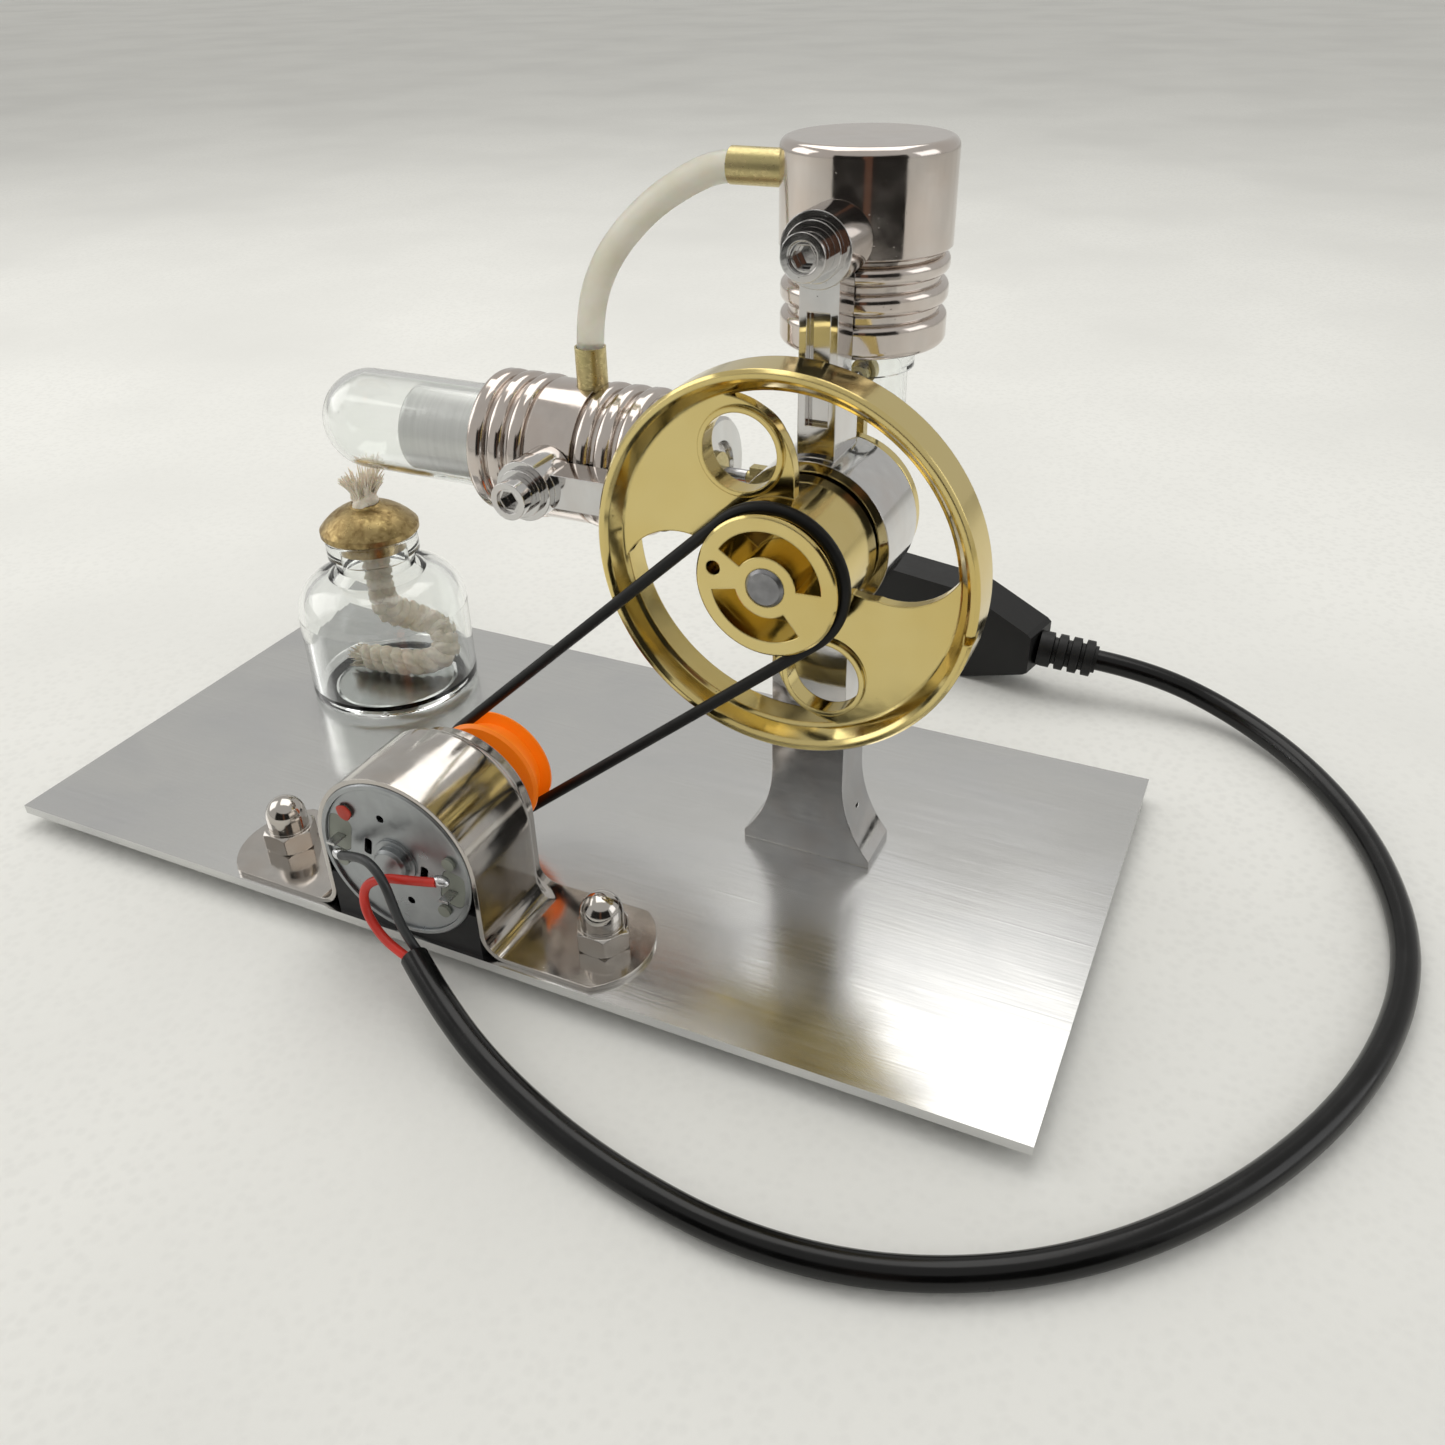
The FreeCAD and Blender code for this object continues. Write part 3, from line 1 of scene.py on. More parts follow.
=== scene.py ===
"""A hot-air engine that drives a small generator, finished and lit around its CAD frame."""

import bmesh
import bpy
import numpy as np
from bpy.props import FloatProperty, FloatVectorProperty, IntProperty, PointerProperty
from mathutils import Matrix, Vector


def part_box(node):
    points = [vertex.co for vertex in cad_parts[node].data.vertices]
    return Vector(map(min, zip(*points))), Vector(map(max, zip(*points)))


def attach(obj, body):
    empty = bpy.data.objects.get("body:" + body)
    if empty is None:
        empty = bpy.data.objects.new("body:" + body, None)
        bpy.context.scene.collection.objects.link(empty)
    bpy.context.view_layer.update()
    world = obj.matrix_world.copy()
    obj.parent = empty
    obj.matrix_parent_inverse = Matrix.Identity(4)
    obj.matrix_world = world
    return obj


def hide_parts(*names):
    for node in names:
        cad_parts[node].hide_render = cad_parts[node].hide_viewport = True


bl_info = {
    "name": "Hot-air engine",
    "version": (1, 0, 0),
    "blender": (4, 5, 0),
    "location": "View3D > Sidebar > Engine",
    "description": "Finishes, cords, wick and studio for a hot-air engine with a generator",
    "category": "Object",
}

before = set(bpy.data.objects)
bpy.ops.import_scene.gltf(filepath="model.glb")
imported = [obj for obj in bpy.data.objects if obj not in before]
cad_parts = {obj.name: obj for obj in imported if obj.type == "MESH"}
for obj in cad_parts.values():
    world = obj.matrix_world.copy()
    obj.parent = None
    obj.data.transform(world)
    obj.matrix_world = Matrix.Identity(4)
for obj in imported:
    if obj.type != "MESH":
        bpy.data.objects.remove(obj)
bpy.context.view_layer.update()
MM = 0.001

# Routes of the soft lines, in metres, the same points as the solids they stand for.
MOUTH = np.array([0.4, -46.0, 7.4]) * MM
OUTLET = np.array([-8.8, 5.4, 2.4]) / np.linalg.norm([-8.8, 5.4, 2.4]) * 0.35 * MM
LEAD_SIDE = np.array([0.42, 0.68, 0.0]) * MM
BLACK_ROUTE = np.vstack([np.array([
    (-13.2, -41.7, 17.2), (-9.9, -42.7, 18.9), (-6.2, -43.8, 19.9), (-3.3, -44.9, 18.2), (-2.1, -45.3, 14.4),
    (-1.2, -45.3, 10.6)]) * MM, MOUTH + LEAD_SIDE + OUTLET])
RED_ROUTE = np.vstack([np.array([
    (2.3, -41.4, 17.4), (-1.3, -42.2, 17.1), (-5.2, -42.9, 16.9), (-8.5, -43.5, 14.9), (-8.5, -44.2, 11.3),
    (-5.8, -45.3, 9.0), (-2.9, -46.2, 8.2)]) * MM, MOUTH - LEAD_SIDE + OUTLET])
RELIEF_WAY = np.array([16.5, 1.6, -1.4]) / np.linalg.norm([16.5, 1.6, -1.4])
RELIEF_END = np.array([57.5, 67.5, 9.0]) * MM + RELIEF_WAY * 10.5 * MM
CABLE_ROUTE = np.vstack([MOUTH, np.array([
    (9.2, -51.4, 5.0), (22.5, -56.9, 2.6), (38.5, -61.6, 1.95), (57.5, -63.9, 1.95), (75.5, -60.1, 1.95),
    (93.0, -49.4, 1.95), (107.8, -31.6, 1.95), (118.3, -9.8, 1.95), (122.3, 14.0, 1.95), (117.2, 37.6, 1.95),
    (106.2, 56.8, 2.1), (92.0, 68.2, 3.4)]) * MM, RELIEF_END + RELIEF_WAY * 9.8 * MM, RELIEF_END])
HOSE_ROUTE = np.array([
    (-3.1, 16.3, 68.9), (-3.1, 16.3, 75.9), (0.5, 16.3, 84.5), (7.5, 16.3, 91.5), (13.8, 16.3, 95.3),
    (18.6, 16.3, 97.2), (22.8, 16.3, 97.2)]) * MM
WICK_ROUTE = np.array([
    (-51.5, 17.5, 45.8), (-51.5, 17.5, 33.0), (-51.5, 17.5, 22.2), (-52.4, 19.1, 17.8), (-51.1, 24.3, 14.6),
    (-46.1, 26.9, 12.0), (-43.3, 23.1, 8.3), (-47.1, 19.1, 7.5), (-53.7, 18.1, 7.5), (-58.5, 17.7, 7.5),
    (-62.7, 16.9, 7.5)]) * MM


# ---------------------------------------------------------------- sizes and colours
def length(name, description, default):
    """A length in metres that the panel shows."""
    return FloatProperty(name=name, description=description, default=default, min=0.0, precision=5,
                         subtype="DISTANCE", unit="LENGTH")


def colour(name, description, default):
    """A colour that the panel shows."""
    return FloatVectorProperty(name=name, description=description, default=default, size=3, min=0.0, max=1.0,
                               subtype="COLOR")


class EngineSizes(bpy.types.PropertyGroup):
    """Sizes of the soft lines and of the small work on them."""
    cable: length("Cable", "Diameter of the output cable", 0.0038)
    lead: length("Leads", "Diameter of the two leads", 0.0013)
    hose: length("Air hose", "Outside diameter of the hose between the cylinders", 0.004)
    wick: length("Wick", "Width of the braided wick", 0.005)
    braid_pitch: length("Braid pitch", "Length in which a strand crosses over and back", 0.0066)
    solder: length("Solder", "Radius of the solder on a terminal", 0.001)
    sheet: length("Strap sheet", "Thickness of the strap's sheet", 0.0007)
    strap_bend: length("Strap bend", "Radius of the bend between a leg and a foot", 0.003)
    strap_step: length("Strap step", "How far the strap drops behind the can", 0.0017)
    strap_end: length("Strap end", "How far the foot's rounded end bows out", 0.0044)
    fray: length("Fray", "Length of the loose yarns at the wick's ends", 0.0072)
    yarns: IntProperty(name="Yarns", description="Loose yarns at the top of the wick", default=120, min=10)
    fuzz: IntProperty(name="Fuzz", description="Fine fibres that stand off the wick", default=900, min=0)


class EngineColours(bpy.types.PropertyGroup):
    """Base colours of the finishes."""
    aluminium: colour("Plate", "Brushed aluminium plate", (0.71, 0.71, 0.70))
    nickel: colour("Nickel", "Warm nickel on the cylinders", (0.64, 0.585, 0.545))
    chrome: colour("Chrome", "Polished stand, nuts and screws", (0.66, 0.655, 0.65))
    gold: colour("Gold", "Plated flywheel", (0.71, 0.58, 0.25))
    brass: colour("Brass", "Satin brass fittings", (0.60, 0.50, 0.25))
    cap: colour("Burner cap", "Aged brass of the burner cap", (0.42, 0.31, 0.14))
    motor: colour("Motor", "Zinc plated motor steel", (0.35, 0.365, 0.375))
    strap: colour("Strap", "Bright stainless strap", (0.56, 0.535, 0.505))
    cotton: colour("Cotton", "Unbleached cotton of the wick", (0.92, 0.83, 0.68))
    hose: colour("Hose", "Milky silicone", (0.93, 0.91, 0.82))
    orange: colour("Pulley", "Orange pulley plastic", (1.0, 0.28, 0.01))
    floor: colour("Floor", "Pale studio floor", (0.80, 0.80, 0.77))


def sizes():
    """The sizes set in the panel."""
    return bpy.context.scene.engine_sizes


def colours():
    """The colours set in the panel."""
    return bpy.context.scene.engine_colours


# ---------------------------------------------------------------- materials
class Finish:
    """One material: a Principled shader with patterns on Object coordinates."""

    def __init__(self, name, base, metallic=0.0, roughness=0.4, **constants):
        self.material = bpy.data.materials.new(name)
        self.material.use_nodes = True
        self.tree = self.material.node_tree
        self.shader = next(n for n in self.tree.nodes if n.type == "BSDF_PRINCIPLED")
        self.base = tuple(base)[:3]
        self.shader.inputs["Base Color"].default_value = (*self.base, 1.0)
        self.shader.inputs["Metallic"].default_value = metallic
        self.shader.inputs["Roughness"].default_value = roughness
        for socket, value in constants.items():
            self.shader.inputs[socket.replace("_", " ")].default_value = value
        self.place = self.add("ShaderNodeTexCoord").outputs["Object"]
        self.normal = None

    def add(self, kind, **settings):
        """A new node with its settings."""
        node = self.tree.nodes.new(kind)
        for key, value in settings.items():
            setattr(node, key, value)
        return node

    def link(self, out, into):
        """Joins two sockets."""
        self.tree.links.new(out, into)

    def mapped(self, stretch, turn=(0, 0, 0), centre=(0, 0, 0)):
        """Object coordinates moved to a centre, turned and stretched."""
        shift = self.add("ShaderNodeVectorMath", operation="SUBTRACT")
        shift.inputs[1].default_value = centre
        self.link(self.place, shift.inputs[0])
        mapping = self.add("ShaderNodeMapping")
        mapping.inputs["Scale"].default_value = stretch
        mapping.inputs["Rotation"].default_value = turn
        self.link(shift.outputs[0], mapping.inputs["Vector"])
        return mapping.outputs["Vector"]

    def noise(self, scale, stretch=(1, 1, 1), detail=3.0, warp=0.0, turn=(0, 0, 0)):
        """Cloudy noise; scale is in patches per metre."""
        node = self.add("ShaderNodeTexNoise")
        node.inputs["Scale"].default_value = scale
        node.inputs["Detail"].default_value = detail
        node.inputs["Distortion"].default_value = warp
        self.link(self.mapped(stretch, turn), node.inputs["Vector"])
        return node.outputs["Fac"]

    def cells(self, scale, feature="F1", stretch=(1, 1, 1)):
        """Distance to the nearest of scattered points."""
        node = self.add("ShaderNodeTexVoronoi", feature=feature)
        node.inputs["Scale"].default_value = scale
        self.link(self.mapped(stretch), node.inputs["Vector"])
        return node.outputs["Distance"]

    def ranged(self, value, low, high, to_low=0.0, to_high=1.0):
        """A value spread from one range to another, and clamped."""
        node = self.add("ShaderNodeMapRange")
        for index, number in enumerate((low, high, to_low, to_high), 1):
            node.inputs[index].default_value = number
        self.link(value, node.inputs[0])
        return node.outputs[0]

    def sums(self, operation, a, b):
        """One sum of two values."""
        node = self.add("ShaderNodeMath", operation=operation)
        for socket, value in zip(node.inputs, (a, b)):
            if isinstance(value, (int, float)):
                socket.default_value = value
            else:
                self.link(value, socket)
        return node.outputs[0]

    def tint(self, fac, other, low=0.3, high=0.7):
        """The base colour drifts towards another where the pattern is high."""
        node = self.add("ShaderNodeMix", data_type="RGBA")
        self.link(self.ranged(fac, low, high), node.inputs["Factor"])
        current = self.shader.inputs["Base Color"]
        if current.is_linked:
            self.link(current.links[0].from_socket, node.inputs["A"])
        else:
            node.inputs["A"].default_value = (*self.base, 1.0)
        node.inputs["B"].default_value = (*other, 1.0)
        self.link(node.outputs["Result"], current)
        return self

    def shade(self, fac, amount, low=0.3, high=0.7):
        """The base colour darkens by an amount where the pattern is high."""
        return self.tint(fac, tuple(c * (1 - amount) for c in self.base), low, high)

    def roughen(self, fac, low, high, start=0.3, end=0.7):
        """Roughness follows the pattern between two values."""
        self.link(self.ranged(fac, start, end, low, high), self.shader.inputs["Roughness"])
        return self

    def bump(self, height, distance, strength=1.0):
        """Relief of a height in metres on top of any relief before it."""
        node = self.add("ShaderNodeBump")
        node.inputs["Strength"].default_value = strength
        node.inputs["Distance"].default_value = distance
        self.link(height, node.inputs["Height"])
        if self.normal is not None:
            self.link(self.normal, node.inputs["Normal"])
        self.normal = node.outputs["Normal"]
        self.link(self.normal, self.shader.inputs["Normal"])
        return self

    def soften_edges(self, radius):
        """Sharp edges catch the light as if rounded to a radius."""
        node = self.add("ShaderNodeBevel", samples=4)
        node.inputs["Radius"].default_value = radius
        self.normal = node.outputs["Normal"]
        self.link(self.normal, self.shader.inputs["Normal"])
        return self


def brushed_plate():
    """Aluminium sheet with a fine lengthwise grain, clouds of haze and a few stray scratches."""
    c = colours().aluminium
    finish = Finish("brushed_aluminium", c, 1.0, 0.3)
    grain = finish.noise(1.0, (60, 2600, 2600), 4)
    haze = finish.noise(38, (1, 1.6, 1), 4, 0.6)
    finish.shade(grain, 0.07)
    finish.tint(haze, (c[0] * 0.84, c[1] * 0.845, c[2] * 0.86), 0.42, 0.72)
    uneven = finish.sums("ADD", finish.sums("MULTIPLY", grain, 0.45), finish.sums("MULTIPLY", haze, 0.6))
    finish.roughen(uneven, 0.13, 0.27, 0.35, 0.7)
    scratch = finish.ranged(finish.noise(1.0, (16, 900, 900), 2, 0.0, (0, 0, 0.9)), 0.70, 0.74)
    other = finish.ranged(finish.noise(1.0, (700, 12, 700), 2, 0.0, (0, 0, 0.35)), 0.72, 0.76)
    finish.bump(grain, 0.000012, 0.5)
    finish.bump(finish.sums("ADD", scratch, other), 0.00001, 0.4)
    return finish.material


def nickel(name="warm_nickel", base=None, haze=0.17, clear=0.07):
    """Plated casting: mirror bright with a faint skin, small pits and fine polishing lines."""
    c = tuple(base or colours().nickel)
    finish = Finish(name, c, 1.0, clear).soften_edges(0.00022)
    skin = finish.noise(170, (1, 1, 1), 3, 0.3)
    finish.shade(finish.noise(420, (1, 1, 0.4), 4), 0.10)
    finish.tint(skin, (c[0] * 0.93, c[1] * 0.89, c[2] * 0.86), 0.4, 0.75)
    finish.roughen(finish.noise(260, (1, 1, 1), 4), clear, haze, 0.35, 0.75)
    finish.bump(skin, 0.00006, 0.35)
    pits = finish.ranged(finish.cells(900), 0.03, 0.12)
    finish.bump(pits, 0.00001, 0.5)
    return finish.material


def gold():
    """Bright gold plating over a cast wheel, with ripples from the mould and thin tarnish."""
    c = colours().gold
    finish = Finish("gold_plating", c, 1.0, 0.1).soften_edges(0.0003)
    ripple = finish.noise(130, (1, 0.5, 1), 2, 0.4)
    finish.tint(finish.noise(60, (1, 1, 1), 3), (c[0] * 0.92, c[1] * 0.86, c[2] * 0.70), 0.42, 0.75)
    finish.roughen(finish.noise(210, (1, 1, 1), 4), 0.07, 0.2, 0.35, 0.75)
    finish.bump(ripple, 0.00012, 0.35)
    finish.bump(finish.ranged(finish.cells(700), 0.02, 0.1), 0.00001, 0.5)
    return finish.material


def satin_brass():
    """Turned brass with fine tool lines and a dull bloom."""
    c = colours().brass
    finish = Finish("satin_brass", c, 1.0, 0.32).soften_edges(0.00015)
    lines = finish.noise(1.0, (1800, 1800, 3200), 2)
    finish.shade(lines, 0.16)
    finish.tint(finish.noise(240, (1, 1, 1), 3), (c[0] * 0.8, c[1] * 0.84, c[2] * 0.8), 0.4, 0.75)
    finish.roughen(lines, 0.24, 0.42)
    finish.bump(lines, 0.00001, 0.5)
    return finish.material


def aged_brass():
    """The burner cap: brushed, mottled brass with brown stains."""
    c = colours().cap
    finish = Finish("aged_brass", c, 1.0, 0.34).soften_edges(0.0002)
    mottle = finish.noise(520, (1, 1, 1), 5, 0.8)
    finish.tint(mottle, (c[0] * 0.42, c[1] * 0.36, c[2] * 0.3), 0.42, 0.78)
    finish.tint(finish.noise(1400, (1, 1, 1), 3), (c[0] * 1.35, c[1] * 1.4, c[2] * 1.35), 0.55, 0.8)
    finish.roughen(mottle, 0.26, 0.5)
    finish.bump(finish.noise(1.0, (2400, 900, 2400), 3), 0.00003, 0.7)
    finish.bump(mottle, 0.00003, 0.5)
    return finish.material


def turned_aluminium():
    """Matte turned aluminium of the displacer, ringed across its length."""
    finish = Finish("turned_aluminium", (0.88, 0.88, 0.86), 0.55, 0.42)
    rings = finish.noise(1.0, (3200, 60, 60), 2)
    finish.shade(rings, 0.06)
    finish.roughen(rings, 0.34, 0.5)
    finish.bump(rings, 0.000012, 0.6)
    return finish.material


def steel(name, base, low, high):
    """Ground steel with fine grinding lines and light handling marks."""
    finish = Finish(name, base, 1.0, low).soften_edges(0.00015)
    marks = finish.noise(650, (1, 1, 1), 4)
    finish.shade(marks, 0.18)
    finish.roughen(marks, low, high)
    finish.bump(finish.noise(1.0, (1500, 2600, 1500), 2), 0.000008, 0.5)
    return finish.material


def motor_zinc():
    """Dull zinc plating of the motor's can and end cap, with drawing marks and faint spangle."""
    c = colours().motor
    finish = Finish("motor_zinc", c, 1.0, 0.36).soften_edges(0.00015)
    spangle = finish.noise(480, (1, 1, 1), 4, 0.4)
    finish.tint(spangle, (c[0] * 1.22, c[1] * 1.22, c[2] * 1.2), 0.35, 0.8)
    finish.tint(finish.noise(140, (1, 1, 1), 3), (c[0] * 0.8, c[1] * 0.79, c[2] * 0.78), 0.45, 0.75)
    finish.roughen(spangle, 0.27, 0.45)
    finish.bump(finish.noise(1900, (1, 1, 1), 2), 0.000012, 0.5)
    return finish.material


def clear_glass():
    """Blown glass: clear, with slight waves in its wall and a trace of haze."""
    finish = Finish("clear_glass", (0.975, 0.985, 0.98), 0.0, 0.0, Transmission_Weight=1.0, IOR=1.46)
    finish.roughen(finish.noise(120, (1, 1, 1), 3), 0.0, 0.02, 0.45, 0.8)
    finish.tint(finish.noise(70, (1, 1, 1), 2), (0.95, 0.97, 0.955), 0.4, 0.7)
    finish.bump(finish.noise(95, (1, 1, 0.6), 2), 0.0002, 0.2)
    return finish.material


def plastic(name, base, low, high, size=600, depth=0.00002, **constants):
    """Moulded plastic or rubber: fine grain, uneven gloss and slight colour drift."""
    finish = Finish(name, base, 0.0, low, **constants)
    grain = finish.noise(size, (1, 1, 1), 4)
    finish.shade(finish.noise(size * 0.2, (1, 1, 1), 3), 0.3)
    finish.roughen(grain, low, high)
    finish.bump(grain, depth, 0.6)
    return finish.material


def dusty(name, base, low, high, dust=(0.32, 0.31, 0.29)):
    """Black rubber or cable jacket with rubbed patches and a little dust."""
    finish = Finish(name, base, 0.0, low, Specular_IOR_Level=0.34)
    rub = finish.noise(210, (1, 1, 1), 4)
    specks = finish.noise(2600, (1, 1, 1), 2)
    finish.tint(specks, dust, 0.86, 1.0)
    finish.tint(rub, tuple(c * 1.8 for c in base), 0.45, 0.8)
    finish.roughen(rub, low, high)
    finish.bump(finish.noise(900, (1, 1, 1), 3), 0.00002, 0.5)
    return finish.material


def silicone():
    """Milky silicone hose: light passes into it, and its skin is faintly cloudy."""
    c = colours().hose
    finish = Finish("silicone_hose", c, 0.0, 0.34, Transmission_Weight=0.6, IOR=1.41,
                    Subsurface_Weight=0.35, Subsurface_Scale=0.004)
    cloud = finish.noise(230, (1, 1, 1), 3)
    finish.tint(cloud, (c[0] * 0.9, c[1] * 0.9, c[2] * 0.82), 0.4, 0.75)
    finish.roughen(cloud, 0.28, 0.42)
    finish.bump(finish.noise(700, (1, 1, 1), 2), 0.00002, 0.5)
    return finish.material


def cotton():
    """Cotton yarn: soft, fibrous, with a fine darker mottle of painted shade for its hollows, and paler fibre tips.
    """
    c = colours().cotton
    finish = Finish("cotton_yarn", c, 0.0, 0.9, Sheen_Weight=0.5, Sheen_Roughness=0.5, Subsurface_Weight=0.12,
                    Subsurface_Scale=0.001)
    fibre = finish.noise(2600, (1, 1, 1), 4, 0.6)
    # Painted shade: the fine fibre pattern darkens the colour, standing in for the hollows between fibres.
    finish.shade(fibre, 0.16, 0.35, 0.75)
    finish.tint(finish.noise(420, (1, 1, 1), 3), (c[0] * 1.18, c[1] * 1.2, c[2] * 1.25), 0.45, 0.75)
    finish.roughen(fibre, 0.8, 0.97)
    finish.bump(fibre, 0.00012, 0.8)
    return finish.material


# ---------------------------------------------------------------- meshes
def add_piece(name, mesh, body, material):
    """Links a mesh as a piece that rides on a body and takes its finish from a slot."""
    piece = bpy.data.objects.new(name, mesh)
    bpy.context.scene.collection.objects.link(piece)
    piece.data.materials.append(material)
    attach(piece, body)
    return piece


def tubes_mesh(name, rings):
    """Closed tubes from an array (tube, ring, side, xyz).

    Sides join ring to ring, and each end closes on its middle.
    """
    count, along, around = rings.shape[:3]
    middles = rings[:, [0, -1]].mean(2)
    points = np.concatenate([rings.reshape(count, -1, 3), middles], 1).reshape(-1, 3)
    stride = along * around + 2
    ring, side = np.meshgrid(np.arange(along - 1), np.arange(around), indexing="ij")
    here, beside = ring * around + side, ring * around + (side + 1) % around
    quads = np.stack([here, beside, beside + around, here + around], -1).reshape(-1, 4)
    edge = np.arange(around)
    last = (along - 1) * around
    start = np.stack([np.full(around, along * around), (edge + 1) % around, edge], -1)
    end = np.stack([np.full(around, along * around + 1), last + edge, last + (edge + 1) % around], -1)
    offsets = (np.arange(count) * stride)[:, None, None]
    faces = (quads[None] + offsets).reshape(-1, 4).tolist()
    faces += (np.concatenate([start, end])[None] + offsets).reshape(-1, 3).tolist()
    mesh = bpy.data.meshes.new(name)
    mesh.from_pydata(points, [], faces)
    mesh.polygons.foreach_set("use_smooth", np.ones(len(faces), bool))
    mesh.update()
    return mesh


def unit(vectors):
    """Vectors scaled to length one."""
    return vectors / np.maximum(np.linalg.norm(vectors, axis=-1, keepdims=True), 1e-12)


def tube_rings(lines, radius, around, reference):
    """Rings round each line (line, point, xyz).

    Each is a circle across the tangent, and a reference direction says where it starts.
    """
    tangent = unit(np.gradient(lines, axis=-2))
    across = unit(np.cross(tangent, np.broadcast_to(reference, tangent.shape)))
    other = np.cross(tangent, across)
    angle = np.linspace(0, 2 * np.pi, around, endpoint=False)
    spread = np.asarray(radius)[..., None, None]
    return lines[..., None, :] + spread * (across[..., None, :] * np.cos(angle)[:, None]
                                           + other[..., None, :] * np.sin(angle)[:, None])


def spline_object(name, route, radius):
    """A round tube along a NURBS spline of order 3 whose control points are the route."""
    curve = bpy.data.curves.new(name, "CURVE")
    curve.dimensions = "3D"
    spline = curve.splines.new("NURBS")
    spline.points.add(len(route) - 1)
    spline.points.foreach_set("co", np.c_[route, np.ones(len(route))].ravel())
    spline.order_u = 3
    spline.use_endpoint_u = True
    curve.resolution_u = 16
    curve.bevel_depth = radius
    curve.bevel_resolution = 7
    curve.use_fill_caps = radius > 0
    piece = bpy.data.objects.new(name, curve)
    bpy.context.scene.collection.objects.link(piece)
    return piece


def spline_line(route, count):
    """Evenly spaced points read along the route's own NURBS spline."""
    guide = spline_object("guide", route, 0.0)
    mesh = bpy.data.meshes.new_from_object(guide)
    points = np.empty(len(mesh.vertices) * 3)
    mesh.vertices.foreach_get("co", points)
    points = points.reshape(-1, 3)
    curve = guide.data
    bpy.data.objects.remove(guide)
    bpy.data.curves.remove(curve)
    bpy.data.meshes.remove(mesh)
    run = np.r_[0, np.cumsum(np.linalg.norm(np.diff(points, axis=0), axis=1))]
    where = np.linspace(0, run[-1], count)
    return np.stack([np.interp(where, run, points[:, axis]) for axis in range(3)], -1), run[-1]


def lumpy_ball(name, centre, radii, seed):
    """A ball of solder: an ellipsoid whose radius swells and sinks by a few slow waves."""
    draw = np.random.default_rng(seed)
    turn, rise = np.meshgrid(np.linspace(0, 2 * np.pi, 40, endpoint=False), np.linspace(0.02, np.pi - 0.02, 26))
    waves = sum(0.05 * np.sin(turn * k + draw.uniform(0, 6)) * np.sin(rise * k + draw.uniform(0, 6)) * np.sin(rise)
                for k in (1, 2, 3))
    swell = 1 + waves
    shape = np.stack([np.sin(rise) * np.cos(turn), np.sin(rise) * np.sin(turn), -np.cos(rise)], -1)
    return tubes_mesh(name, (shape * swell[..., None] * np.array(radii) + np.array(centre))[None])


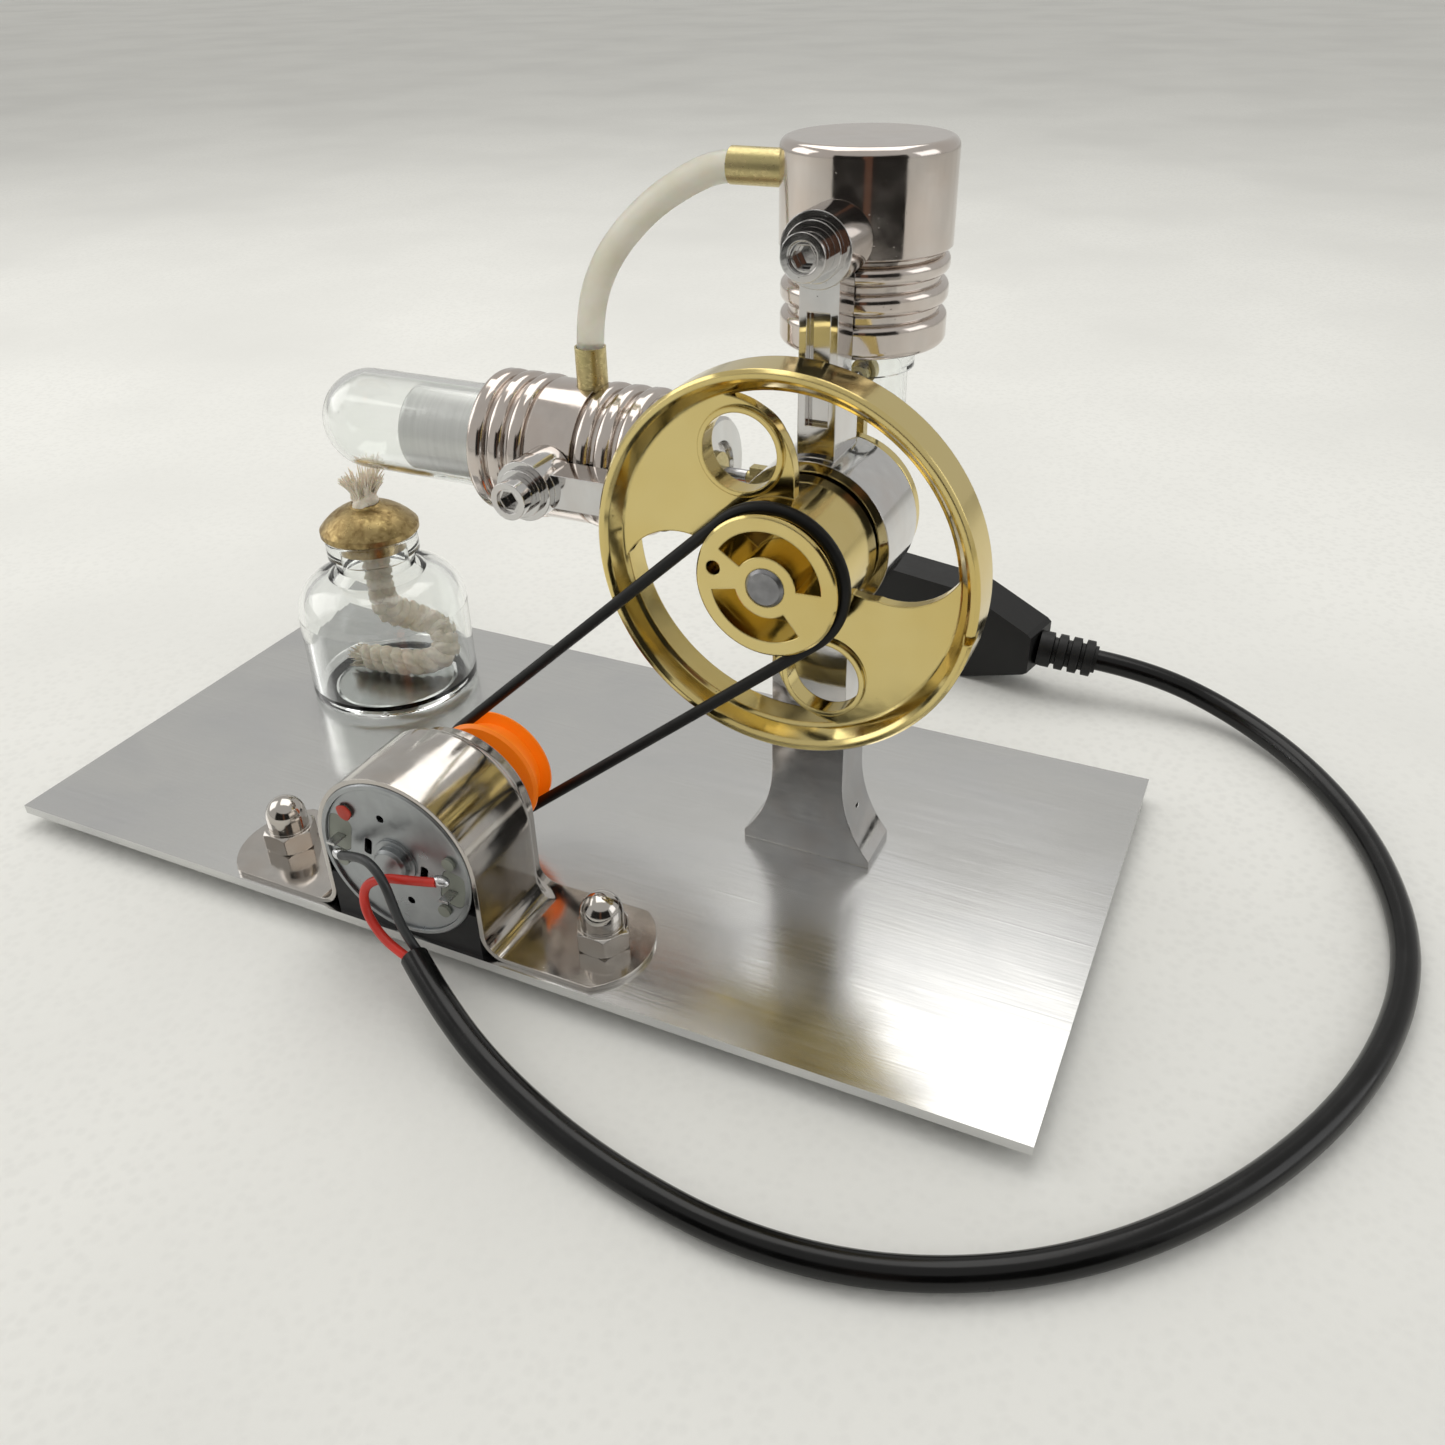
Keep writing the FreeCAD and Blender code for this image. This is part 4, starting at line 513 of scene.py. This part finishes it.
# ---------------------------------------------------------------- operators
class ENGINE_OT_studio(bpy.types.Operator):
    """Camera, pale floor and soft light tent"""
    bl_idname = "engine.studio"
    bl_label = "Studio"

    def execute(self, context):
        """Places the camera, the floor, the lamps and the surroundings."""
        scene = context.scene
        camera = bpy.data.objects.new("camera", bpy.data.cameras.new("camera"))
        scene.collection.objects.link(camera)
        camera.data.lens = 31.353
        camera.data.sensor_width = 36.0
        camera.data.clip_start = 0.005
        right = Vector((0.90599, 0.42293, -0.01798))
        up = Vector((-0.21443, 0.49514, 0.84194))
        turn = Matrix((right, up, right.cross(up))).transposed().to_4x4()
        camera.matrix_world = Matrix.Translation((0.0924, -0.14075, 0.12381)) @ turn
        scene.camera = camera
        self.floor(scene)
        self.surroundings(scene)
        for name, place, target, size, power, warmth in (
                ("top_lamp", (-0.10, 0.22, 0.62), (0.0, 0.02, 0.03), 0.55, 1.7, (1.0, 0.985, 0.955)),
                ("left_lamp", (-0.62, -0.10, 0.38), (0.0, 0.0, 0.04), 0.45, 1.0, (1.0, 0.99, 0.97)),
                ("right_lamp", (0.60, 0.12, 0.30), (0.0, 0.0, 0.04), 0.35, 0.5, (0.98, 0.99, 1.0))):
            lamp = bpy.data.lights.new(name, "AREA")
            lamp.shape = "SQUARE"
            lamp.size = size
            lamp.energy = power
            lamp.color = warmth
            item = bpy.data.objects.new(name, lamp)
            way = Vector(target) - Vector(place)
            item.matrix_world = Matrix.Translation(place) @ way.to_track_quat("-Z", "Y").to_matrix().to_4x4()
            scene.collection.objects.link(item)
        scene.view_settings.view_transform = "Standard"
        return {"FINISHED"}

    def floor(self, scene):
        """A wide round sheet of pale cloth under the object."""
        turn = np.linspace(0, 2 * np.pi, 96, endpoint=False)
        reach = np.array([0.002, 0.2, 1.0, 5.0])
        flat = np.zeros((len(reach), len(turn)))
        points = np.stack([np.outer(reach, np.cos(turn)), np.outer(reach, np.sin(turn)), flat], -1)
        sides = len(turn)
        index = np.arange(3 * sides).reshape(3, sides)
        beside = np.roll(index, -1, 1)
        faces = np.stack([index, index + sides, beside + sides, beside], -1).reshape(-1, 4).tolist()
        faces.append(list(range(sides)))
        mesh = bpy.data.meshes.new("floor")
        mesh.from_pydata(points.reshape(-1, 3), [], faces)
        floor = bpy.data.objects.new("floor", mesh)
        scene.collection.objects.link(floor)
        c = colours().floor
        finish = Finish("pale_cloth", c, 0.0, 0.85)
        dots = finish.cells(640)
        finish.tint(finish.ranged(dots, 0.25, 0.55), tuple(x * 1.05 for x in c), 0.0, 1.0)
        finish.tint(finish.noise(9, (1, 1, 1), 3), tuple(x * 0.96 for x in c), 0.4, 0.7)
        finish.bump(dots, 0.0002, 0.35)
        floor.data.materials.append(finish.material)

    def surroundings(self, scene):
        """A pale tent of light with one dark doorway that only reflections see."""
        world = bpy.data.worlds.new("tent")
        scene.world = world
        world.use_nodes = True
        tree = world.node_tree
        sky = next(n for n in tree.nodes if n.type == "BACKGROUND")
        sky.inputs["Color"].default_value = (0.86, 0.85, 0.82, 1.0)
        sky.inputs["Strength"].default_value = 0.66
        for name, half, near, base in (("doorway", 0.33, 0.40, (0.010, 0.009, 0.008)),
                                       ("onlooker", 0.03, 0.392, (0.13, 0.06, 0.036))):
            self.reflected_card(scene, name, half, near, base)

    def reflected_card(self, scene, name, half, near, base):
        """A dark upright strip bent round the object on the camera's side; only reflections see it."""
        middle = np.arctan2(-0.906, 0.423)
        turn = middle + np.linspace(-half, half, 24) / near
        rise = np.linspace(0.0, 0.30, 8)
        across, away = near * np.cos(turn)[None], near * np.sin(turn)[None]
        shape = np.stack(np.broadcast_arrays(across, away, rise[:, None]), -1)
        index = np.arange(8 * 24).reshape(8, 24)
        faces = np.stack([index[:-1, :-1], index[:-1, 1:], index[1:, 1:], index[1:, :-1]], -1).reshape(-1, 4)
        mesh = bpy.data.meshes.new(name)
        mesh.from_pydata(shape.reshape(-1, 3), [], faces.tolist())
        card = bpy.data.objects.new(name, mesh)
        scene.collection.objects.link(card)
        mesh.materials.append(Finish(f"{name}_cloth", base, 0.0, 0.9).material)
        for ray in ("camera", "diffuse", "transmission", "volume_scatter", "shadow"):
            setattr(card, f"visible_{ray}", False)


class ENGINE_OT_cable(bpy.types.Operator):
    """Output cable that loops on the table to its socket, with its strain relief and socket"""
    bl_idname = "engine.cable"
    bl_label = "Output cable"

    def execute(self, context):
        """Lays the jacketed cable and finishes what it carries."""
        jacket = dusty("cable_jacket", (0.0022, 0.0022, 0.0022), 0.16, 0.28)
        cable = spline_object("cable", CABLE_ROUTE, sizes().cable / 2)
        cable.data.materials.append(jacket)
        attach(cable, "frame")
        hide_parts("output_cable")
        housing = dusty("socket_plastic", (0.006, 0.006, 0.006), 0.38, 0.55)
        finish_nodes({"strain_relief": housing, "socket_housing": housing, "socket_tongue": housing})
        return {"FINISHED"}


class ENGINE_OT_leads(bpy.types.Operator):
    """Red and black leads with the solder that holds them"""
    bl_idname = "engine.leads"
    bl_label = "Leads"

    def execute(self, context):
        """Bends the two short leads and puts solder on both terminals."""
        solder = steel("solder", (0.66, 0.66, 0.67), 0.18, 0.4)
        for name, route, base, slot, low in (
                ("black_lead", BLACK_ROUTE, (0.03, 0.032, 0.034), "black_pvc", 0.35),
                ("red_lead", RED_ROUTE, (0.72, 0.035, 0.02), "red_pvc", 0.3)):
            lead = spline_object(f"{name}_wire", route, sizes().lead / 2)
            lead.data.materials.append(plastic(f"{name}_pvc", base, low, low + 0.14, 900))
            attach(lead, "frame")
            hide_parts(name)
            end = route[0] + unit(route[0] - route[1]) * 0.0005
            r = sizes().solder
            middle = end + np.array([0, 0.0003, 0])
            ball = lumpy_ball(f"{name}_solder", middle, (r * 1.25, r * 0.9, r * 0.8), 7)
            add_piece(f"{name}_solder", ball, "frame", solder)
        return {"FINISHED"}


class ENGINE_OT_hose(bpy.types.Operator):
    """Milky hose that carries air between the cylinders"""
    bl_idname = "engine.hose"
    bl_label = "Air hose"

    def execute(self, context):
        """Bends the hose from nipple to nipple."""
        hose = spline_object("hose", HOSE_ROUTE, sizes().hose / 2)
        hose.data.materials.append(silicone())
        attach(hose, "frame")
        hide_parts("air_hose")
        return {"FINISHED"}


class ENGINE_OT_wick(bpy.types.Operator):
    """Braided cotton wick with its frayed ends and fuzz"""
    bl_idname = "engine.wick"
    bl_label = "Wick"

    def execute(self, context):
        """Braids three strands along the wick's line, then adds loose yarns and fuzz."""
        yarn = cotton()
        line, total = spline_line(WICK_ROUTE, 560)
        stop = int(len(line) * 0.93)
        start = int(len(line) * 0.075)
        core = line[start:stop]
        tangent = unit(np.gradient(core, axis=0))
        across = unit(np.cross(tangent, (-0.35, 0.3, 0.9)))
        other = np.cross(tangent, across)
        run = np.linspace(0, total, len(line))[start:stop]
        width = sizes().wick / 2
        strand = width * 0.5
        phase = 2 * np.pi * run / sizes().braid_pitch
        near_ends = np.minimum(1.0, np.minimum(run - run[0], run[-1] - run) / 0.002 * 0.25 + 0.75)
        strands = []
        for turn in (0, 2 * np.pi / 3, 4 * np.pi / 3):
            offset = (across * (np.sin(phase + turn) * (width - strand) * near_ends)[:, None]
                      + other * (np.sin(2 * (phase + turn)) * strand * 0.9)[:, None])
            strands.append(core + offset)
        lines = np.array(strands)
        rings = tube_rings(lines, np.full(lines.shape[:2], strand), 30, (-0.35, 0.3, 0.9))
        angle = np.linspace(0, 2 * np.pi, 30, endpoint=False)
        ply = 1 + 0.13 * np.abs(np.sin(2.5 * angle[None, :] + 2 * np.pi * run[:, None] / 0.0034))
        rings = lines[:, :, None] + (rings - lines[:, :, None]) * (ply[None, ..., None] - 0.07)
        braid = add_piece("wick_braid", tubes_mesh("wick_braid", rings), "burner", yarn)
        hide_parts("burner_wick")
        top = self.loose_yarns("wick_top", line[start], (0, 0, 1), sizes().yarns, sizes().fray, 0.95, 11, yarn)
        tail = self.loose_yarns("wick_tail", line[stop - 1], line[stop - 1] - line[stop - 9], sizes().yarns,
                                sizes().fray * 0.62, 0.42, 12, yarn)
        fuzz = self.fuzz(line[start + 60:stop], width, yarn)
        return {"FINISHED"}

    def loose_yarns(self, name, root, way, count, reach, spread, seed, yarn):
        """Tapered yarns that leave a root and splay out in clumps.

        Each bends by the square of the distance along it.
        """
        draw = np.random.default_rng(seed)
        way = unit(np.array(way, float))
        across = unit(np.cross(way, (0.3, -0.8, 0.52)))
        other = np.cross(way, across)
        clump = draw.integers(0, 7, count)
        turn = clump * 0.9 + draw.normal(0, 0.22, count)
        lean = draw.uniform(0.15, 0.55, 7)[clump] * spread + draw.normal(0, 0.07, count)
        size = reach * draw.uniform(0.62, 1.0, 7)[clump] * draw.uniform(0.86, 1.05, count)
        out = across * np.cos(turn)[:, None] + other * np.sin(turn)[:, None]
        base = root + out * draw.uniform(0.1, 0.85, count)[:, None] * sizes().wick * 0.40 - way * 0.0012
        step = np.linspace(0, 1, 12)
        bend = unit(draw.normal(0, 1, (count, 3))) * 0.16
        lines = (base[:, None] + way * (size[:, None] * step)[..., None]
                 + (out * (lean * size)[:, None])[:, None] * (step ** 1.4)[None, :, None]
                 + (bend * size[:, None])[:, None] * (step ** 2)[None, :, None])
        thick = 0.00023 * (1 - 0.72 * step ** 3)[None] * draw.uniform(0.7, 1.15, count)[:, None]
        mesh = tubes_mesh(name, tube_rings(lines, thick, 7, (0.31, 0.77, 0.2)))
        return add_piece(name, mesh, "burner", yarn)

    def fuzz(self, line, width, yarn):
        """Short fine fibres all round the braid, each an arc that leaves the surface."""
        draw = np.random.default_rng(5)
        count = sizes().fuzz
        spot = draw.integers(1, len(line) - 1, count)
        tangent = unit(line[spot + 1] - line[spot - 1])
        out = unit(np.cross(tangent, draw.normal(0, 1, (count, 3))))
        step = np.linspace(0, 1, 5)
        size = draw.uniform(0.0004, 0.0011, count)
        lines = (line[spot][:, None] + out[:, None] * (width * 0.8 + size[:, None] * step * 0.6)[..., None]
                 + tangent[:, None] * (size[:, None] * step ** 2 * 0.9)[..., None])
        thick = np.full((count, 5), 0.00002)
        mesh = tubes_mesh("wick_fuzz", tube_rings(lines, thick, 3, (0.31, 0.77, 0.2)))
        return add_piece("wick_fuzz", mesh, "burner", yarn)


def finish_nodes(table):
    """Gives each CAD node its material."""
    for name, material in table.items():
        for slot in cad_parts[name].material_slots:
            slot.material = material


class ENGINE_OT_plate(bpy.types.Operator):
    """Brushed plate, rubber feet and the screws under the stand"""
    bl_idname = "engine.plate"
    bl_label = "Plate"

    def execute(self, context):
        """Finishes the plate and what it stands on."""
        rubber = dusty("foot_rubber", (0.02, 0.02, 0.021), 0.55, 0.8)
        oxide = steel("black_oxide", (0.05, 0.05, 0.055), 0.32, 0.5)
        finish_nodes({"base_plate": brushed_plate(), "rubber_feet": rubber, "motor_pad": rubber, "tube_seal": rubber,
                      "stand_screws": oxide, "flywheel_set_screw": oxide})
        return {"FINISHED"}


class ENGINE_OT_castings(bpy.types.Operator):
    """Stand, cylinders, end cover and their fasteners"""
    bl_idname = "engine.castings"
    bl_label = "Castings"

    def execute(self, context):
        """Finishes the plated castings and the bright fasteners."""
        warm = nickel()
        bright = nickel("bright_chrome", colours().chrome, 0.15, 0.05)
        cover = nickel("polished_cover", (0.70, 0.70, 0.69), 0.2, 0.09)
        finish_nodes({"power_cylinder": warm, "hot_cylinder": warm, "stand_casting": bright, "end_cover": cover,
                      "cylinder_screws": bright, "screw_washers": bright})
        return {"FINISHED"}


class ENGINE_OT_running_gear(bpy.types.Operator):
    """Flywheel, crank, bearings, rods, pistons and belt"""
    bl_idname = "engine.running_gear"
    bl_label = "Running gear"

    def execute(self, context):
        """Finishes everything that turns or slides."""
        plated, brass = gold(), satin_brass()
        ground = steel("bearing_steel", (0.62, 0.62, 0.63), 0.12, 0.28)
        turned = turned_aluminium()
        finish_nodes({"flywheel": plated, "crank_disc": plated,
                      "power_conrod": brass, "displacer_conrod": brass, "piston_lug": brass, "displacer_lug": brass,
                      "guide_bush": brass, "shaft_washer": brass, "upper_nipple": brass, "lower_nipple": brass,
                      "motor_bush": brass, "displacer": turned, "displacer_plug": turned,
                      "power_piston": steel("dark_piston", (0.16, 0.16, 0.17), 0.3, 0.5),
                      "crankshaft": steel("shaft_steel", (0.30, 0.30, 0.31), 0.24, 0.42),
                      "drive_belt": dusty("belt_rubber", (0.002, 0.002, 0.002), 0.42, 0.6)})
        finish_nodes(dict.fromkeys(("bearing_outer_rings", "bearing_inner_rings", "bearing_balls", "crank_pin",
                                    "crank_pin_clip", "gudgeon_pin", "displacer_pin", "displacer_rod",
                                    "motor_shaft"), ground))
        return {"FINISHED"}


class ENGINE_OT_glass(bpy.types.Operator):
    """Glass tube, glass liner and the burner's bottle and cap"""
    bl_idname = "engine.glass"
    bl_label = "Glass and burner"

    def execute(self, context):
        """Finishes the glass and the burner's cap."""
        glass = clear_glass()
        finish_nodes({"burner_bottle": glass, "hot_tube": glass, "cylinder_liner": glass, "burner_cap": aged_brass()})
        return {"FINISHED"}


class ENGINE_OT_generator(bpy.types.Operator):
    """Generator, its strap and its pulley"""
    bl_idname = "engine.generator"
    bl_label = "Generator"

    def execute(self, context):
        """Finishes the can motor that works as a generator, and what holds it."""
        zinc = motor_zinc()
        tin = steel("tinned_metal", (0.68, 0.68, 0.67), 0.2, 0.38)
        nuts = nickel("bright_nuts", colours().strap, 0.15, 0.06)
        finish_nodes({"motor_can": zinc, "motor_end_cap": zinc,
                      "motor_armature": steel("motor_steel", (0.3, 0.3, 0.31), 0.35, 0.55),
                      "motor_magnets": plastic("magnet", (0.05, 0.05, 0.05), 0.6, 0.8),
                      "motor_terminals": tin, "socket_shell": tin, "cap_nuts": nuts, "bracket_screws": nuts,
                      "terminal_insulators": plastic("insulator_plastic", (0.30, 0.32, 0.27), 0.38, 0.55),
                      # The pulley's emission is a painted glow that brightens the orange plastic; the pulley is no
                      # lamp.
                      "motor_pulley": plastic("orange_plastic", colours().orange, 0.3, 0.45, 500, 0.00002,
                                              Subsurface_Weight=0.12, Subsurface_Scale=0.002,
                                              Emission_Color=(1.0, 0.16, 0.0, 1.0), Emission_Strength=0.3)})
        return {"FINISHED"}


class ENGINE_OT_strap(bpy.types.Operator):
    """Bright strap over the generator, with its rounded shoulder and feet"""
    bl_idname = "engine.strap"
    bl_label = "Strap"
    foot_steps, bend_steps, leg_steps, ring_steps = 26, 14, 8, 96
    width_steps = 72

    def execute(self, context):
        """Presses the strap over the can as one sheet and puts the paint mark on the end cap."""
        low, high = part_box("motor_bracket")
        can_low, can_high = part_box("motor_can")
        axis_x, axis_z = (can_low.x + can_high.x) / 2, (can_low.z + can_high.z) / 2
        front, back, sheet = low.y, high.y, sizes().sheet
        bend = sizes().strap_bend
        y = front + (back - front) * np.linspace(0, 1, self.width_steps)
        shoulder_front, shoulder_length = can_high.y - 0.0002, 0.0021
        fall = np.clip((y - shoulder_front) / shoulder_length, 0, 1)
        radius = (high.z - axis_z) - sizes().strap_step * fall * fall * (3 - 2 * fall)
        half_width = (back - front) / 2
        sag = sizes().strap_end
        end = (half_width ** 2 + sag ** 2) / (2 * sag)
        inset = end - np.sqrt(end ** 2 - (y - (front + back) / 2) ** 2)
        ends = (low.x + inset, high.x - inset)
        path, normal = self.section(radius, axis_x, axis_z - low.z, bend, sheet, *ends)
        over = np.stack([path[..., 0], np.broadcast_to(y[None], path.shape[:2]), path[..., 1] + low.z], -1)
        lean = np.stack([normal[..., 0], np.zeros(path.shape[:2]), normal[..., 1]], -1)
        under = over - lean * sheet
        mesh = self.sheet_mesh("strap_sheet", np.concatenate([over, under[:, ::-1]], 1))
        strap = add_piece("strap_sheet", mesh, "frame",
                          nickel("bright_strap", colours().strap, 0.17, 0.08))
        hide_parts("motor_bracket")
        self.paint_mark(axis_x, axis_z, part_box("terminal_insulators")[0].y)
        return {"FINISHED"}

    def section(self, radius, middle, rise, bend, sheet, left, right):
        """The sheet's upper line for each width, and the directions it faces.

        It runs along the left foot, round a quarter bend, up the leg, over a half circle, and the same back down.
        """
        counts = (self.foot_steps, self.bend_steps, self.leg_steps, self.ring_steps)
        foot, turn, leg, ring = (np.linspace(0, 1, count, endpoint=False)[:, None] for count in counts)
        flat = np.zeros((1, len(radius)))
        corner = middle - radius - bend
        quarter = turn * np.pi / 2
        points = [
            (left + (corner - left) * foot, sheet + flat + foot * 0),
            (corner + bend * np.sin(quarter), sheet + bend * (1 - np.cos(quarter)) + flat),
            (middle - radius + leg * 0, sheet + bend + (rise - sheet - bend) * leg + flat),
            (middle - radius * np.cos(ring * np.pi), rise + radius * np.sin(ring * np.pi))]
        normals = [
            (flat + foot * 0, 1 + flat + foot * 0),
            (-np.sin(quarter) + flat, np.cos(quarter) + flat),
            (-1 + flat + leg * 0, flat + leg * 0),
            (-np.cos(ring * np.pi) + flat, np.sin(ring * np.pi) + flat)]
        x, z = (np.concatenate([part[axis] for part in points]) for axis in (0, 1))
        u, w = (np.concatenate([part[axis] for part in normals]) for axis in (0, 1))
        side = sum(counts[:3]) + 1
        back_x = 2 * middle - x[:side][::-1]
        back_x[-self.foot_steps:] = right - (right - (middle + radius + bend)) * foot[::-1]
        x = np.concatenate([x, back_x])
        z, w = (np.concatenate([line, line[:side][::-1]]) for line in (z, w))
        u = np.concatenate([u, -u[:side][::-1]])
        return np.stack([x, z], -1), np.stack([u, w], -1)

    def sheet_mesh(self, name, rings):
        """A closed sheet from rings that run out along its top and back along its underside."""
        along, around = rings.shape[:2]
        index = np.arange(along * around).reshape(along, around)
        beside = np.roll(index, -1, 1)
        faces = np.stack([index[:-1], beside[:-1], beside[1:], index[1:]], -1).reshape(-1, 4)
        half = around // 2
        ends = []
        for ring, order in ((index[0], 1), (index[-1], -1)):
            top, bottom = ring[:half], ring[half:][::-1]
            ends.append(np.stack([top[:-1], bottom[:-1], bottom[1:], top[1:]], -1)[:, ::order])
        mesh = bpy.data.meshes.new(name)
        mesh.from_pydata(rings.reshape(-1, 3), [], np.concatenate([faces, *ends]).tolist())
        shell = bmesh.new()
        shell.from_mesh(mesh)
        bmesh.ops.recalc_face_normals(shell, faces=shell.faces)
        shell.to_mesh(mesh)
        shell.free()
        mesh.polygons.foreach_set("use_smooth", np.ones(len(mesh.polygons), bool))
        mesh.set_sharp_from_angle(angle=0.8)
        return mesh

    def paint_mark(self, x, z, y):
        """A flat drop of red paint on one rivet: a low dome whose rim wavers."""
        turn = np.linspace(0, 2 * np.pi, 48, endpoint=False)
        reach = np.linspace(1.0, 0.05, 9)[:, None]
        wave = 1 + 0.05 * np.sin(3 * turn) + 0.03 * np.sin(5 * turn + 1)
        rivet_turn, rivet_reach = np.radians(139), 0.0095
        radius, height, sunk = 0.0012, 0.00012, 0.0002
        rings = np.stack([x + rivet_reach * np.cos(rivet_turn) + radius * reach * wave * np.cos(turn),
                          y - height * (1 - reach ** 4) + 0 * turn,
                          z + rivet_reach * np.sin(rivet_turn) + radius * reach * wave * np.sin(turn)], -1)
        base = rings[:1] + np.array([0, sunk, 0])
        mark = tubes_mesh("paint_mark", np.concatenate([base, rings])[None])
        add_piece("paint_mark", mark, "frame",
                  plastic("red_paint", (0.62, 0.045, 0.02), 0.35, 0.55, 1400, 0.00004))


class ENGINE_PT_panel(bpy.types.Panel):
    """Sizes, colours and steps of the hot-air engine"""
    bl_idname = "ENGINE_PT_panel"
    bl_label = "Hot-air engine"
    bl_space_type = "VIEW_3D"
    bl_region_type = "UI"
    bl_category = "Engine"

    def draw(self, context):
        """Lists the sizes, the colours and one button for each step."""
        for group in (context.scene.engine_sizes, context.scene.engine_colours):
            box = self.layout.box()
            for name in group.__annotations__:
                box.prop(group, name)
        for step in STEPS:
            self.layout.operator(step.bl_idname)


STEPS = (ENGINE_OT_studio, ENGINE_OT_cable, ENGINE_OT_hose, ENGINE_OT_leads, ENGINE_OT_wick, ENGINE_OT_plate,
         ENGINE_OT_castings, ENGINE_OT_running_gear, ENGINE_OT_glass, ENGINE_OT_generator, ENGINE_OT_strap)
CLASSES = (EngineSizes, EngineColours, *STEPS, ENGINE_PT_panel)


def register():
    """Adds the classes and the two groups of settings."""
    for item in CLASSES:
        bpy.utils.register_class(item)
    bpy.types.Scene.engine_sizes = PointerProperty(type=EngineSizes)
    bpy.types.Scene.engine_colours = PointerProperty(type=EngineColours)


def unregister():
    """Takes the groups and the classes away again."""
    del bpy.types.Scene.engine_colours
    del bpy.types.Scene.engine_sizes
    for item in reversed(CLASSES):
        bpy.utils.unregister_class(item)


def main():
    """Runs every step in order."""
    register()
    for step in STEPS:
        group, name = step.bl_idname.split(".")
        getattr(getattr(bpy.ops, group), name)()
    bpy.context.view_layer.update()


if __name__ == "__main__":
    main()
